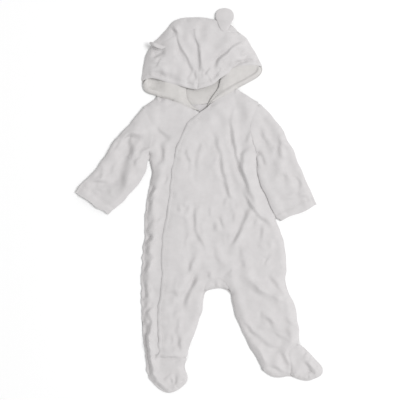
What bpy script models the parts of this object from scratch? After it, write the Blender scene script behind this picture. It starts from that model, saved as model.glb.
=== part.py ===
"""A baby's hooded sleepsuit of white velour, laid flat on its back.

The suit has a wrap-over front, set-in sleeves, closed feet, a crotch gusset and a
hood with two round ears. It lies face up on a surface: the back pieces are flat on
z = 0, and the front pieces lie on them. X runs to the right as seen from above, Y
runs from the feet to the hood, and the origin is the middle of the suit. Left and
right in the names are as seen from above. Sizes below are in millimetres.
"""
import math
from collections import namedtuple

import bmesh
import bpy
import numpy as np
from mathutils import Vector
from mathutils.geometry import delaunay_2d_cdt

MM = 0.001

# ---------------------------------------------------------------- cloth and layers
CLOTH = 2.0            # velour with its backing
SEAM_GAP = 0.4         # between two pieces that are sewn edge to edge
LAYER_GAP = 0.3        # between two pieces that lie on each other at an edge
WRAP_GAP = 0.9         # between the two fronts where they overlap
BODY_AIR = 3.5         # the most air between front and back
BODY_ROUND = 24.0      # how far in from its edge the front takes to rise
HOOD_AIR = 14.0        # the most air under the crown of the hood
HOOD_ROUND = 52.0      # how far in from its edge the crown takes to rise
LIP_AIR = 3.4          # air under the turned-out lips of the hood
UNDERLAP = 26.0        # how far the lower front reaches under the upper one
CELL = 12.0            # mesh spacing of the pieces that show folds
FLAT_CELL = 20.0       # mesh spacing of the flat pieces below
SIDE_CLEARANCE = 1.6   # between the right side of the body and the sleeve beside it

# ------------------------------------------------------------- sleeves and ears
SLEEVE_HEIGHT = 7.6
SLEEVE_SQUARENESS = 3.4   # power of the flattened ring: 2 is an ellipse
SLEEVE_RINGS = 14
SLEEVE_AROUND = 24
EAR_WIDTH = 35.0
EAR_LENGTH = 50.0
EAR_BASE = 20.0
EAR_THICK = 5.0
EAR_POINTS = 13
EAR_CELL = 9.0

# -------------------------------------------------------------- runs of the outline
# Each run goes from one corner of the suit to the next, as x, y.
SHOULDER_LEFT = ((-84, 205), (-99, 196), (-112, 186))
SIDE_LEFT = ((-102, 90), (-99, 75), (-95, 50), (-106, 2), (-112, -80), (-117, -158), (-117, -222),
             (-113, -286), (-110, -306))
ANKLE_LEFT_OUTER = ((-110, -306), (-97, -306), (-84, -307))
ANKLE_LEFT_INNER = ((-84, -307), (-54, -310), (-26, -314))
FOOT_LEFT = ((-26, -314), (-33, -334), (-24, -351), (-28, -368), (-42, -379), (-62, -385),
             (-80, -380), (-96, -366), (-106, -342), (-110, -306))
LEG_LEFT_INNER = ((-26, -314), (-17, -282), (0, -236), (5, -214), (7, -186))
CROTCH = ((7, -186), (20, -178), (38, -176), (52, -177), (62, -186))
GUSSET_TOP = ((7, -186), (13, -164), (31, -154), (50, -163), (62, -186))
LEG_RIGHT_INNER = ((62, -186), (65, -203), (72, -233), (88, -271), (106, -304), (126, -340))
HEEL_RIGHT = ((126, -340), (138, -351), (154, -355), (181, -351))
TOE_RIGHT = ((181, -351), (198, -360), (212, -363), (229, -358), (245, -349), (248, -338),
             (232, -318), (208, -297), (199, -286))
VAMP_RIGHT = ((199, -286), (181, -294), (175, -306), (180, -325), (181, -351))
ANKLE_RIGHT = ((199, -286), (160, -302), (126, -340))
LEG_RIGHT_OUTER = ((199, -286), (198, -260), (193, -231), (187, -202), (171, -174), (173, -136),
                   (168, -84), (158, -58), (149, -31))
SHOULDER_RIGHT = ((116, 194), (102, 204), (75, 222))
NECK_BACK = ((75, 222), (52, 209), (22, 194), (-10, 190), (-46, 197), (-84, 205))

# The free edge of the upper front, from the neck to the ankle.
WRAP_EDGE = ((2, 177), (-16, 163), (-31, 142), (-42, 118), (-52, 88), (-59, 40), (-62, 0),
             (-70, -45), (-76, -96), (-77, -166), (-84, -222), (-84, -256), (-82, -280), (-84, -307))
NECK_RIGHT = ((75, 222), (52, 208), (28, 196), (2, 177))
NECK_LEFT = ((-84, 205), (-62, 200), (-46, 194), (-30, 189), (-10, 178), (2, 172))

# ------------------------------------------------------------------ runs of the hood
HOOD_LEFT = ((-115, 234), (-117, 246), (-112, 268), (-108, 290), (-98, 308))
HOOD_TOP = ((-98, 308), (-76, 330), (-60, 350), (-46, 361), (-6, 366), (22, 363), (50, 355), (66, 348),
            (80, 334))
HOOD_RIGHT = ((80, 334), (96, 319), (106, 300), (122, 274), (126, 264))
HOOD_LOW_RIGHT = ((126, 264), (125, 252), (117, 243), (96, 234), (75, 222))
HOOD_LOW_LEFT = ((-84, 205), (-100, 210), (-112, 219), (-115, 234))
CROSS_SEAM_LEFT = ((-98, 308), (-70, 316), (-46, 329), (-13, 339))
CROSS_SEAM_RIGHT = ((-13, 339), (28, 338), (46, 333), (80, 334))
CENTRE_SEAM = ((-13, 339), (-10, 320), (-2, 296), (-1, 274), (-3, 240), (-6, 220))
BRIM_LEFT = ((-6, 220), (-24, 222), (-43, 226), (-78, 238), (-102, 243), (-115, 234))
BRIM_RIGHT = ((126, 264), (116, 268), (102, 269), (84, 266), (66, 258), (46, 245), (28, 232), (10, 224),
              (-6, 220))
LIP_LEFT_TOP = ((-28, 219), (-43, 223), (-78, 235), (-102, 240), (-114, 232))
LIP_LEFT_LOW = ((-114, 232), (-112, 219), (-100, 210), (-84, 206), (-62, 201.5), (-46, 195.5),
                (-30, 190.5), (-10, 179.5), (0, 178))
LIP_LEFT_END = ((0, 178), (-14, 188), (-25, 200), (-28, 219))
LIP_RIGHT_TOP = ((124, 261), (116, 265), (102, 266), (84, 263), (66, 255), (44, 240))
LIP_RIGHT_END = ((44, 240), (38, 228), (27, 210), (16, 192), (4, 180))
LIP_RIGHT_NECK = ((4, 180), (28, 198), (52, 210), (75, 223))
LIP_RIGHT_LOW = ((75, 223), (96, 234), (115, 244), (122, 252), (124, 261))

# ---------------------------------------------------------------- sleeve sections
# One row for each section, from the armhole to the cuff: the point on the upper edge,
# the point on the lower edge, and how far the section bows towards the body.
Section = namedtuple("Section", "top_x top_y low_x low_y bow")
SLEEVE_LEFT = (
    Section(-112, 186, -102, 90, 15),
    Section(-137, 156, -105.5, 75, 7),
    Section(-162, 130, -110, 53, 4),
    Section(-181, 101, -122, 31, 1),
    Section(-201, 71, -138, 13, 0),
    Section(-219, 49, -155, -5, 0),
    Section(-234, 35, -168, -17, 0),
    Section(-249, 17, -182, -30, 0),
)
SLEEVE_RIGHT = (
    Section(116, 194, 114, 90, -18),
    Section(140, 175, 114, 72, -9),
    Section(160, 147, 116, 51, -4),
    Section(178, 116, 123, 26, -1),
    Section(196, 78, 133, 5, 0),
    Section(212, 38, 145, -20, 0),
    Section(223, 14, 153, -32, 0),
    Section(235, -9, 161, -42, 0),
)



def armhole(section):
    """The armhole seam, from the shoulder to the armpit, as the sleeve's first section."""
    run = []
    for across in (1.0, 0.8, 0.5, 0.2, -0.2, -0.5, -0.8, -1.0):
        x = (section.top_x * (1 + across) + section.low_x * (1 - across)) / 2
        y = (section.top_y * (1 + across) + section.low_y * (1 - across)) / 2
        run.append((x + section.bow * (1 - across**2) ** 2, y))
    return run


ARMHOLE_LEFT = armhole(SLEEVE_LEFT[0])
ARMHOLE_RIGHT = armhole(SLEEVE_RIGHT[0])

# -------------------------------------------------------------------- main folds
# Each fold is a curve from its start over its middle to its end. Its height is above
# the smooth cloth, or below it where it is negative, and its width is to one side.
Fold = namedtuple("Fold", "name x0 y0 xm ym x1 y1 width height")
BODY_FOLDS = (
    Fold("chest drag, ridge", 56, 190, 62, 92, 104, -6, 10, 3.4),
    Fold("chest drag, trough", 68, 188, 78, 92, 120, -10, 9, -2.6),
    Fold("belly drag, ridge", 18, 160, 32, 74, 62, -6, 10, 2.4),
    Fold("belly drag, trough", 32, 138, 46, 62, 80, -22, 9, -2.0),
    Fold("side drag, ridge", 88, 96, 100, 14, 140, -46, 10, 3.4),
    Fold("breast hollow", 3, 120, -8, 80, -10, 50, 10, -1.8),
    Fold("centre ridge", 8, -12, -2, -70, 14, -122, 12, 2.0),
    Fold("hip trough", 96, -26, 80, -64, 60, -98, 10, -2.4),
    Fold("hip ridge", 80, -22, 64, -58, 46, -92, 11, 2.6),
    Fold("groin trough", 2, -144, -16, -174, -36, -212, 10, -2.6),
    Fold("groin ridge", -12, -136, -32, -164, -52, -200, 11, 2.6),
    Fold("thigh ridge", 76, -148, 116, -172, 180, -204, 12, 3.6),
    Fold("thigh trough", 134, -144, 154, -172, 176, -190, 10, -2.2),
    Fold("shin trough", 80, -204, 100, -246, 166, -300, 10, -2.4),
    Fold("shin ridge", 100, -226, 132, -240, 190, -268, 12, 2.6),
    Fold("ankle ridge", 106, -284, 118, -304, 136, -334, 10, 2.4),
    Fold("left shin trough", -44, -256, -38, -286, -36, -306, 10, -2.2),
    Fold("left shin ridge", -60, -240, -56, -270, -52, -300, 11, 2.0),
    Fold("left chest trough", -84, 150, -78, 136, -62, 122, 9, -2.0),
    Fold("left side ridge", -84, -20, -92, -60, -96, -110, 11, 2.2),
)
SLEEVE_FOLDS = (
    Fold("elbow trough", -138, 118, -144, 74, -158, 22, 11, -2.4),
    Fold("elbow ridge", -158, 112, -166, 76, -180, 40, 12, 2.8),
    Fold("upper arm ridge", -156, 126, -128, 138, -108, 134, 10, 2.8),
    Fold("inner arm trough", -94, 112, -118, 96, -116, 70, 10, -2.2),
    Fold("right armhole ridge", 128, 140, 104, 118, 108, 66, 10, 2.6),
    Fold("right sleeve trough", 120, 156, 128, 120, 142, 88, 10, -2.4),
    Fold("right sleeve ridge", 160, 130, 166, 88, 160, 50, 12, 3.0),
    Fold("right cuff ridge", 160, 4, 186, 10, 220, 6, 10, 1.6),
)
HOOD_FOLDS = (
    Fold("left of centre, trough", -41, 332, -28, 286, -14, 250, 9, -2.4),
    Fold("left of centre, ridge", -56, 322, -44, 282, -30, 246, 10, 2.6),
    Fold("right drag, ridge", 84, 314, 44, 294, 26, 256, 11, 3.4),
    Fold("right drag, trough", 72, 300, 36, 276, 18, 248, 9, -2.4),
    Fold("left drag, ridge", -104, 262, -74, 254, -50, 246, 10, 2.8),
    Fold("left hollow", -96, 312, -80, 322, -60, 326, 12, -3.0),
    Fold("right brim trough", 72, 272, 92, 281, 112, 280, 9, -2.2),
)


# ------------------------------------------------------------------------- curves
def curve_through(points, step):
    """Points about a step apart on a smooth curve through the given ones."""
    pts = np.array(points, dtype=float)
    ends = np.vstack((2 * pts[0] - pts[1], pts, 2 * pts[-1] - pts[-2]))
    dense = []
    for a, b, c, d in zip(ends, ends[1:], ends[2:], ends[3:]):
        for t in np.linspace(0.0, 1.0, 16, endpoint=False):
            dense.append(0.5 * (2 * b + (c - a) * t + (2 * a - 5 * b + 4 * c - d) * t**2
                                + (3 * b - a - 3 * c + d) * t**3))
    dense = np.array(dense + [pts[-1]])
    along = np.concatenate(([0.0], np.cumsum(np.linalg.norm(np.diff(dense, axis=0), axis=1))))
    count = max(2, int(round(along[-1] / step)) + 1)
    stations = np.linspace(0.0, along[-1], count)
    return np.column_stack([np.interp(stations, along, column) for column in dense.T])


def outline_of(runs, step):
    """One closed outline, counter-clockwise, from runs that meet end to end."""
    paths = [curve_through(run, step) for run in runs]
    ends = np.array((paths[1][0], paths[1][-1]))
    if np.linalg.norm(ends - paths[0][0], axis=1).min() < np.linalg.norm(ends - paths[0][-1], axis=1).min():
        paths[0] = paths[0][::-1]
    end = paths[0][-1]
    loop = list(paths[0][:-1])
    for path in paths[1:]:
        if np.linalg.norm(end - path[0]) > np.linalg.norm(end - path[-1]):
            path = path[::-1]
        end = path[-1]
        loop.extend(path[:-1])
    loop = np.array(loop)
    following = np.roll(loop, -1, axis=0)
    area = np.sum(loop[:, 0] * following[:, 1] - following[:, 0] * loop[:, 1])
    return loop if area > 0 else loop[::-1]


def inset(loop, distance):
    """The outline moved inwards, corner by corner."""
    before = loop - np.roll(loop, 1, axis=0)
    after = np.roll(loop, -1, axis=0) - loop
    before /= np.linalg.norm(before, axis=1)[:, None]
    after /= np.linalg.norm(after, axis=1)[:, None]
    normals = np.column_stack((-(before + after)[:, 1], (before + after)[:, 0]))
    normals /= np.maximum(np.linalg.norm(normals, axis=1), 0.3)[:, None]
    slant = np.maximum((normals * np.column_stack((-before[:, 1], before[:, 0]))).sum(axis=1), 0.5)
    return loop + normals * (distance / slant)[:, None]


def distance_to(points, lines):
    """The distance of each point to the nearest of some polylines."""
    nearest = np.full(len(points), 1e9)
    for line in lines:
        for a, b in zip(line[:-1], line[1:]):
            span = b - a
            t = np.clip(((points - a) @ span) / (span @ span), 0.0, 1.0)
            gap = np.linalg.norm(points - a - t[:, None] * span, axis=1)
            nearest = np.minimum(nearest, gap)
    return nearest


def inside(points, loop):
    """Which points are within the outline."""
    x, y = points[:, 0], points[:, 1]
    result = np.zeros(len(points), dtype=bool)
    for (x0, y0), (x1, y1) in zip(loop, np.roll(loop, -1, axis=0)):
        crosses = (y0 > y) != (y1 > y)
        rise = y1 - y0 if y1 != y0 else 1e-9
        result ^= crosses & (x < (x1 - x0) * (y - y0) / rise + x0)
    return result


def smooth_step(value):
    """0 up to 0, 1 from 1, and a soft rise between them."""
    t = np.clip(value, 0.0, 1.0)
    return t * t * (3.0 - 2.0 * t)


def round_rise(value):
    """0 at 0 and 1 from 1, rising like the side of an ellipse."""
    t = np.clip(value, 0.0, 1.0)
    return np.sqrt(1.0 - (1.0 - t) ** 2)


def relief(points, folds):
    """The height of the folds at each point."""
    height = np.zeros(len(points))
    for fold in folds:
        line = curve_through(((fold.x0, fold.y0), (fold.xm, fold.ym), (fold.x1, fold.y1)), 6.0)
        middle = len(line) // 2
        fade = np.abs(np.arange(len(line)) - middle) / max(middle, 1)
        away = np.linalg.norm(points[:, None, :] - line[None, :, :], axis=2)
        nearest = np.argmin(away, axis=1)
        size = 1.0 - 0.6 * fade[nearest] ** 2
        height += fold.height * size * np.exp(-((away.min(axis=1) / fold.width) ** 2))
    return height


# ----------------------------------------------------------------------- heights
FINE = 8.0
BODY_EDGE = [curve_through(run, FINE) for run in (
    SHOULDER_LEFT, SIDE_LEFT, FOOT_LEFT, LEG_LEFT_INNER, CROTCH, LEG_RIGHT_INNER,
    HEEL_RIGHT, TOE_RIGHT, LEG_RIGHT_OUTER, SHOULDER_RIGHT,
    [(row.low_x, row.low_y) for row in SLEEVE_RIGHT[:-1]])]
HOOD_EDGE = [curve_through(run, FINE) for run in (HOOD_LEFT, HOOD_TOP, HOOD_RIGHT)]
BRIM = [curve_through(run, FINE) for run in (BRIM_LEFT, BRIM_RIGHT)]
LIP_EDGE = [curve_through(run, FINE) for run in (HOOD_LOW_LEFT, HOOD_LOW_RIGHT)]
WRAP_LINE = curve_through(WRAP_EDGE, FINE)


def front_height(points):
    """The underside of a front that lies on the back."""
    rise = BODY_AIR * round_rise(distance_to(points, BODY_EDGE) / BODY_ROUND)
    settled = rise * smooth_step(distance_to(points, BODY_EDGE) / CELL)
    folds = relief(points, BODY_FOLDS) * smooth_step(distance_to(points, BODY_EDGE) / BODY_ROUND)
    return CLOTH + LAYER_GAP + np.maximum(0.6 * rise + 0.4 * settled + folds, 0.0)


def wrap_height(points):
    """The underside of the upper front, which climbs over the lower one."""
    wrap_x = np.interp(-points[:, 1], -WRAP_LINE[:, 1], WRAP_LINE[:, 0])
    beyond = points[:, 0] - wrap_x - UNDERLAP - CELL
    step = (CLOTH + WRAP_GAP) * (1.0 - smooth_step(beyond / BODY_ROUND))
    return front_height(points) + step


def crown_height(points):
    """The underside of the hood's crown, a low dome that sinks towards its brim."""
    rise = round_rise((distance_to(points, HOOD_EDGE) - LAYER_GAP) / HOOD_ROUND)
    sink = 0.62 + 0.38 * smooth_step(distance_to(points, BRIM) / HOOD_ROUND)
    folds = relief(points, HOOD_FOLDS) * smooth_step(distance_to(points, HOOD_EDGE) / BODY_ROUND)
    return CLOTH + LAYER_GAP + HOOD_AIR * rise * sink + folds


def lip_height(points):
    """The underside of a turned-out lip, which rises inwards from the hood's edge."""
    return CLOTH + LAYER_GAP + LIP_AIR * round_rise(distance_to(points, LIP_EDGE) / BODY_ROUND)


def floor_height(points):
    """The underside of a piece that lies on the surface."""
    return np.zeros(len(points))


# ------------------------------------------------------------------------- meshes
def finish_object(name, corners, faces, colour, roughness):
    """A named object from corners in millimetres, with its own material."""
    mesh = bpy.data.meshes.new(name)
    mesh.from_pydata([Vector(corner) * MM for corner in corners], [], faces)
    work = bmesh.new()
    work.from_mesh(mesh)
    bmesh.ops.triangulate(work, faces=work.faces[:])
    bmesh.ops.recalc_face_normals(work, faces=work.faces[:])
    work.to_mesh(mesh)
    work.free()
    mesh.shade_smooth()
    material = bpy.data.materials.new(name)
    material.use_nodes = True
    shader = material.node_tree.nodes["Principled BSDF"]
    shader.inputs["Base Color"].default_value = (*colour, 1.0)
    shader.inputs["Roughness"].default_value = roughness
    shader.inputs["Metallic"].default_value = 0.0
    mesh.materials.append(material)
    piece = bpy.data.objects.new(name, mesh)
    bpy.context.scene.collection.objects.link(piece)
    return piece


def fill_outline(loop, cell):
    """Points and triangles that fill an outline, on a square grid away from its edge."""
    low, high = loop.min(axis=0), loop.max(axis=0)
    first = np.floor(low / cell).astype(int)
    last = np.ceil(high / cell).astype(int)
    keys = [(i, j) for i in range(first[0], last[0] + 1) for j in range(first[1], last[1] + 1)]
    grid = np.array(keys, dtype=float) * cell
    closed = np.vstack((loop, loop[:1]))
    keep = inside(grid, loop) & (distance_to(grid, [closed]) > 0.45 * cell)
    count = len(loop)
    index = {}
    for key, kept in zip(keys, keep):
        if kept:
            index[key] = count + len(index)
    points = np.vstack((loop, grid[keep]))
    edges = [(i, (i + 1) % count) for i in range(count)]
    for (i, j), start in index.items():
        corners = [index.get((i + 1, j)), index.get((i, j + 1)), index.get((i + 1, j + 1))]
        if None not in corners:
            edges.append((start, corners[2]))
    result = delaunay_2d_cdt([Vector(point) for point in points], edges, [], 0, 1e-4)
    places = np.array([tuple(vertex) for vertex in result[0]])
    triangles = [tuple(face) for face in result[2]]
    centres = np.array([places[list(face)].mean(axis=0) for face in triangles])
    kept = inside(centres, loop)
    return places, [face for face, good in zip(triangles, kept) if good]


def shell_faces(triangles, count):
    """The faces of a closed wall: its upper side, its under side and its rim."""
    sides = {(a, b) for face in triangles for a, b in zip(face, face[1:] + face[:1])}
    rims = [(a, b) for a, b in sides if (b, a) not in sides]
    under = [tuple(vertex + count for vertex in reversed(face)) for face in triangles]
    return list(triangles) + under + [(b, a, a + count, b + count) for a, b in sorted(rims)]


def sheet(name, runs, height, colour, roughness=0.9, cell=CELL):
    """A piece of cloth with the given outline and underside, as a closed solid."""
    loop = inset(outline_of(runs, cell), SEAM_GAP / 2)
    places, triangles = fill_outline(loop, cell)
    count = len(places)
    low = height(places)
    corners = [(*place, z + CLOTH) for place, z in zip(places, low)]
    corners += [(*place, z) for place, z in zip(places, low)]
    return finish_object(name, corners, shell_faces(triangles, count), colour, roughness)


def sleeve(name, sections, colour, roughness=0.9):
    """A flattened tube of cloth through the sections, open at the armhole and the cuff."""
    rows = np.array(sections, dtype=float)
    spaced = np.linspace(0, len(rows) - 1, SLEEVE_RINGS)
    padded = np.vstack((2 * rows[0] - rows[1], rows, 2 * rows[-1] - rows[-2]))
    smoothed = []
    for place in spaced:
        k = min(int(place), len(rows) - 2)
        t = place - k
        a, b, c, d = padded[k:k + 4]
        smoothed.append(0.5 * (2 * b + (c - a) * t + (2 * a - 5 * b + 4 * c - d) * t**2
                               + (3 * b - a - 3 * c + d) * t**3))
    clear = np.sign(rows[-1, 0]) * 2 * SEAM_GAP
    rings = []
    for thickness in (0.0, CLOTH):
        for number, row in enumerate(smoothed):
            top, low = Vector(row[0:2]), Vector(row[2:4])
            middle, half = (top + low) / 2, (top - low) / 2
            outwards = Vector((row[4], 0.0))
            reach = 1.0 - (thickness + SEAM_GAP) / half.length
            height = SLEEVE_HEIGHT / 2 - thickness
            ring = []
            for step in range(SLEEVE_AROUND):
                angle = 2 * math.pi * (step + 0.5) / SLEEVE_AROUND
                across, up = math.cos(angle), math.sin(angle)
                across = math.copysign(abs(across) ** (2 / SLEEVE_SQUARENESS), across)
                level = (1.0 - abs(across) ** SLEEVE_SQUARENESS) ** (1.0 / SLEEVE_SQUARENESS)
                plan = middle + half * across * reach + outwards * (1.0 - across**2) ** 2
                plan += Vector((clear if number == 0 else 0.0, 0.0))
                z = SLEEVE_HEIGHT / 2 + math.copysign(level * height, up)
                ring.append([plan.x, plan.y, z])
            rings.append(ring)
    corners = np.array(rings).reshape(-1, 3)
    upper = corners[:, 2] > SLEEVE_HEIGHT / 2
    edge = [curve_through(rows[:, 0:2], FINE), curve_through(rows[:, 2:4], FINE)]
    lift = relief(corners[:, :2], SLEEVE_FOLDS) * smooth_step(distance_to(corners[:, :2], edge) / BODY_ROUND)
    corners[:, 2] += np.where(upper, lift, 0.0)
    total = SLEEVE_RINGS * SLEEVE_AROUND
    faces = []
    for ring in range(SLEEVE_RINGS - 1):
        for step in range(SLEEVE_AROUND):
            a = ring * SLEEVE_AROUND + step
            b = ring * SLEEVE_AROUND + (step + 1) % SLEEVE_AROUND
            c, d = b + SLEEVE_AROUND, a + SLEEVE_AROUND
            faces.append((a, b, c, d))
            faces.append((d + total, c + total, b + total, a + total))
    for step in range(SLEEVE_AROUND):
        following = (step + 1) % SLEEVE_AROUND
        faces.append((following, step, step + total, following + total))
        last = (SLEEVE_RINGS - 1) * SLEEVE_AROUND
        faces.append((last + step, last + following, last + following + total, last + step + total))
    return finish_object(name, corners, faces, colour, roughness)


def ear(name, place, colour, roughness=0.9):
    """A round padded ear, mapped from its own flat shape by a function."""
    radius = EAR_WIDTH / 2
    loop = [(-EAR_BASE / 2, 0.0), (0.0, 0.0), (EAR_BASE / 2, 0.0)]
    for angle in np.radians(np.linspace(-40.0, 220.0, EAR_POINTS)):
        loop.append((radius * math.cos(angle), EAR_LENGTH - radius + radius * math.sin(angle)))
    loop = np.array(loop)
    places, triangles = fill_outline(loop, EAR_CELL)
    edge = np.vstack((loop, loop[:1]))
    half = EAR_THICK / 2 * (0.4 + 0.6 * round_rise(distance_to(places, [edge]) / radius))
    corners = [place(u, v, rise) for (u, v), rise in zip(places, half)]
    corners += [place(u, v, -rise) for (u, v), rise in zip(places, half)]
    return finish_object(name, corners, shell_faces(triangles, len(places)), colour, roughness)


# --------------------------------------------------------------------------- build
VELOUR = (0.68, 0.66, 0.66)
LINING = (0.72, 0.70, 0.68)

BODY_SIDE_RIGHT = [(row.low_x - SIDE_CLEARANCE, row.low_y) for row in SLEEVE_RIGHT[:6]]


def ear_on_top(u, v, w):
    """The right ear lies out over the top of the hood and droops a little."""
    base_x, base_y, base_z, droop = 49.0, 334.5, 17.6, 0.24
    return (base_x + u, base_y + v, base_z - droop * v + w)


def ear_folded(u, v, w):
    """The left ear rises from the side of the hood, leans out and curls back over it."""
    base = np.array((-85.0, 297.0, 16.0))
    along = np.array((0.97, -0.17, 0.14))
    over = np.array((-0.17, -0.98, 0.0))
    up = np.array((0.0, 0.0, 1.0))
    first, last = math.radians(-85), math.radians(125)
    radius = EAR_LENGTH / (last - first)
    lean = first + v / radius
    middle = base + along * u
    middle = middle + up * radius * (math.sin(lean) - math.sin(first))
    middle = middle + over * radius * (math.cos(first) - math.cos(lean))
    return tuple(middle + (up * math.sin(lean) - over * math.cos(lean)) * w)


def build():
    """All the pieces, from the back and the floor up."""
    for old in list(bpy.data.objects):
        bpy.data.objects.remove(old)
    side_right = BODY_SIDE_RIGHT + [LEG_RIGHT_OUTER[-1]]
    armhole_right = ARMHOLE_RIGHT[:-1] + [BODY_SIDE_RIGHT[0]]
    hidden_edge = [(x + UNDERLAP, y) for x, y in WRAP_EDGE[:-1]] + [(-60, -309)]
    flat = {"height": floor_height, "colour": VELOUR, "cell": FLAT_CELL}

    sheet("back_body", (
        NECK_BACK, SHOULDER_LEFT, ARMHOLE_LEFT, SIDE_LEFT, ANKLE_LEFT_OUTER, ANKLE_LEFT_INNER,
        LEG_LEFT_INNER, CROTCH, LEG_RIGHT_INNER, ANKLE_RIGHT, LEG_RIGHT_OUTER, side_right,
        armhole_right, SHOULDER_RIGHT), **flat)
    sheet("foot_sole_left", (ANKLE_LEFT_OUTER, ANKLE_LEFT_INNER, FOOT_LEFT), **flat)
    sheet("foot_sole_right", (ANKLE_RIGHT, HEEL_RIGHT, TOE_RIGHT), **flat)
    sheet("hood_back", (
        NECK_BACK, HOOD_LOW_LEFT, HOOD_LEFT, HOOD_TOP, HOOD_RIGHT, HOOD_LOW_RIGHT), **flat)

    sheet("front_lower_left", (
        NECK_LEFT, (NECK_LEFT[-1], hidden_edge[0]), hidden_edge, (hidden_edge[-1], WRAP_EDGE[-1]),
        ANKLE_LEFT_OUTER, SIDE_LEFT,
        ARMHOLE_LEFT, SHOULDER_LEFT), front_height, VELOUR)
    sheet("front_upper_right", (
        NECK_RIGHT, WRAP_EDGE, ANKLE_LEFT_INNER, LEG_LEFT_INNER, GUSSET_TOP, LEG_RIGHT_INNER,
        HEEL_RIGHT, VAMP_RIGHT, LEG_RIGHT_OUTER, side_right, armhole_right, SHOULDER_RIGHT),
        wrap_height, VELOUR)
    sheet("crotch_gusset", (CROTCH, GUSSET_TOP), front_height, VELOUR)
    sheet("foot_upper_left", (ANKLE_LEFT_OUTER, ANKLE_LEFT_INNER, FOOT_LEFT), front_height, VELOUR)
    sheet("foot_upper_right", (VAMP_RIGHT, TOE_RIGHT), front_height, VELOUR)

    sleeve("sleeve_left", SLEEVE_LEFT, VELOUR)
    sleeve("sleeve_right", SLEEVE_RIGHT, VELOUR)

    sheet("hood_lip_left", (LIP_LEFT_TOP, LIP_LEFT_LOW, LIP_LEFT_END), lip_height, LINING)
    sheet("hood_lip_right", (LIP_RIGHT_TOP, LIP_RIGHT_END, LIP_RIGHT_NECK, LIP_RIGHT_LOW),
          lip_height, LINING)
    sheet("hood_crown_left", (HOOD_LEFT, CROSS_SEAM_LEFT, CENTRE_SEAM, BRIM_LEFT), crown_height, VELOUR)
    sheet("hood_crown_right", (CENTRE_SEAM, CROSS_SEAM_RIGHT, HOOD_RIGHT, BRIM_RIGHT),
          crown_height, VELOUR)
    sheet("hood_back_over", (HOOD_TOP, CROSS_SEAM_RIGHT, CROSS_SEAM_LEFT), crown_height, VELOUR)
    ear("ear_left", ear_folded, VELOUR)
    ear("ear_right", ear_on_top, VELOUR)


build()
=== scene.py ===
"""The looks of the white velour sleepsuit: soft cloth, creases, seams and stitching.

Every cloth piece starts as a finer, smoother copy of its CAD node. Loft, creases,
puckers and seam valleys are then pressed into it as one height field over the plan, so
pieces that lie on each other stay in step. Plan sizes and heights in the tables and in
the height field are in millimetres, with x and y as in the frame. Left and right are as
seen from above.
"""
import math
from collections import namedtuple

import bmesh
import bpy
import numpy as np
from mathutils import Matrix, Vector, kdtree
from mathutils.bvhtree import BVHTree


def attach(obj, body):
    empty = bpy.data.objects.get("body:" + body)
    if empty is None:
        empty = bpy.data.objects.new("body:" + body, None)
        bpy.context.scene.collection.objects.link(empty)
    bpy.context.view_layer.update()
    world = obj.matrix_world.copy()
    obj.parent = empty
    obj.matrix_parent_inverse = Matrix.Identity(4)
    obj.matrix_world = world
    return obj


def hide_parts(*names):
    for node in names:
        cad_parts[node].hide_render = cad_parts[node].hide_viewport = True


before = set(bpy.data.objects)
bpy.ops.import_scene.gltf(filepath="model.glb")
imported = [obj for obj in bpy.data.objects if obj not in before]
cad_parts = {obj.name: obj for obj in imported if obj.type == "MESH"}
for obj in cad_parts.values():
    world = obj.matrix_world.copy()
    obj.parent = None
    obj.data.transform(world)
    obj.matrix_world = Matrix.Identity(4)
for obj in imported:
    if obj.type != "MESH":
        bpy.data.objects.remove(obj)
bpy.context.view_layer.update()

MM = 0.001

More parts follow.
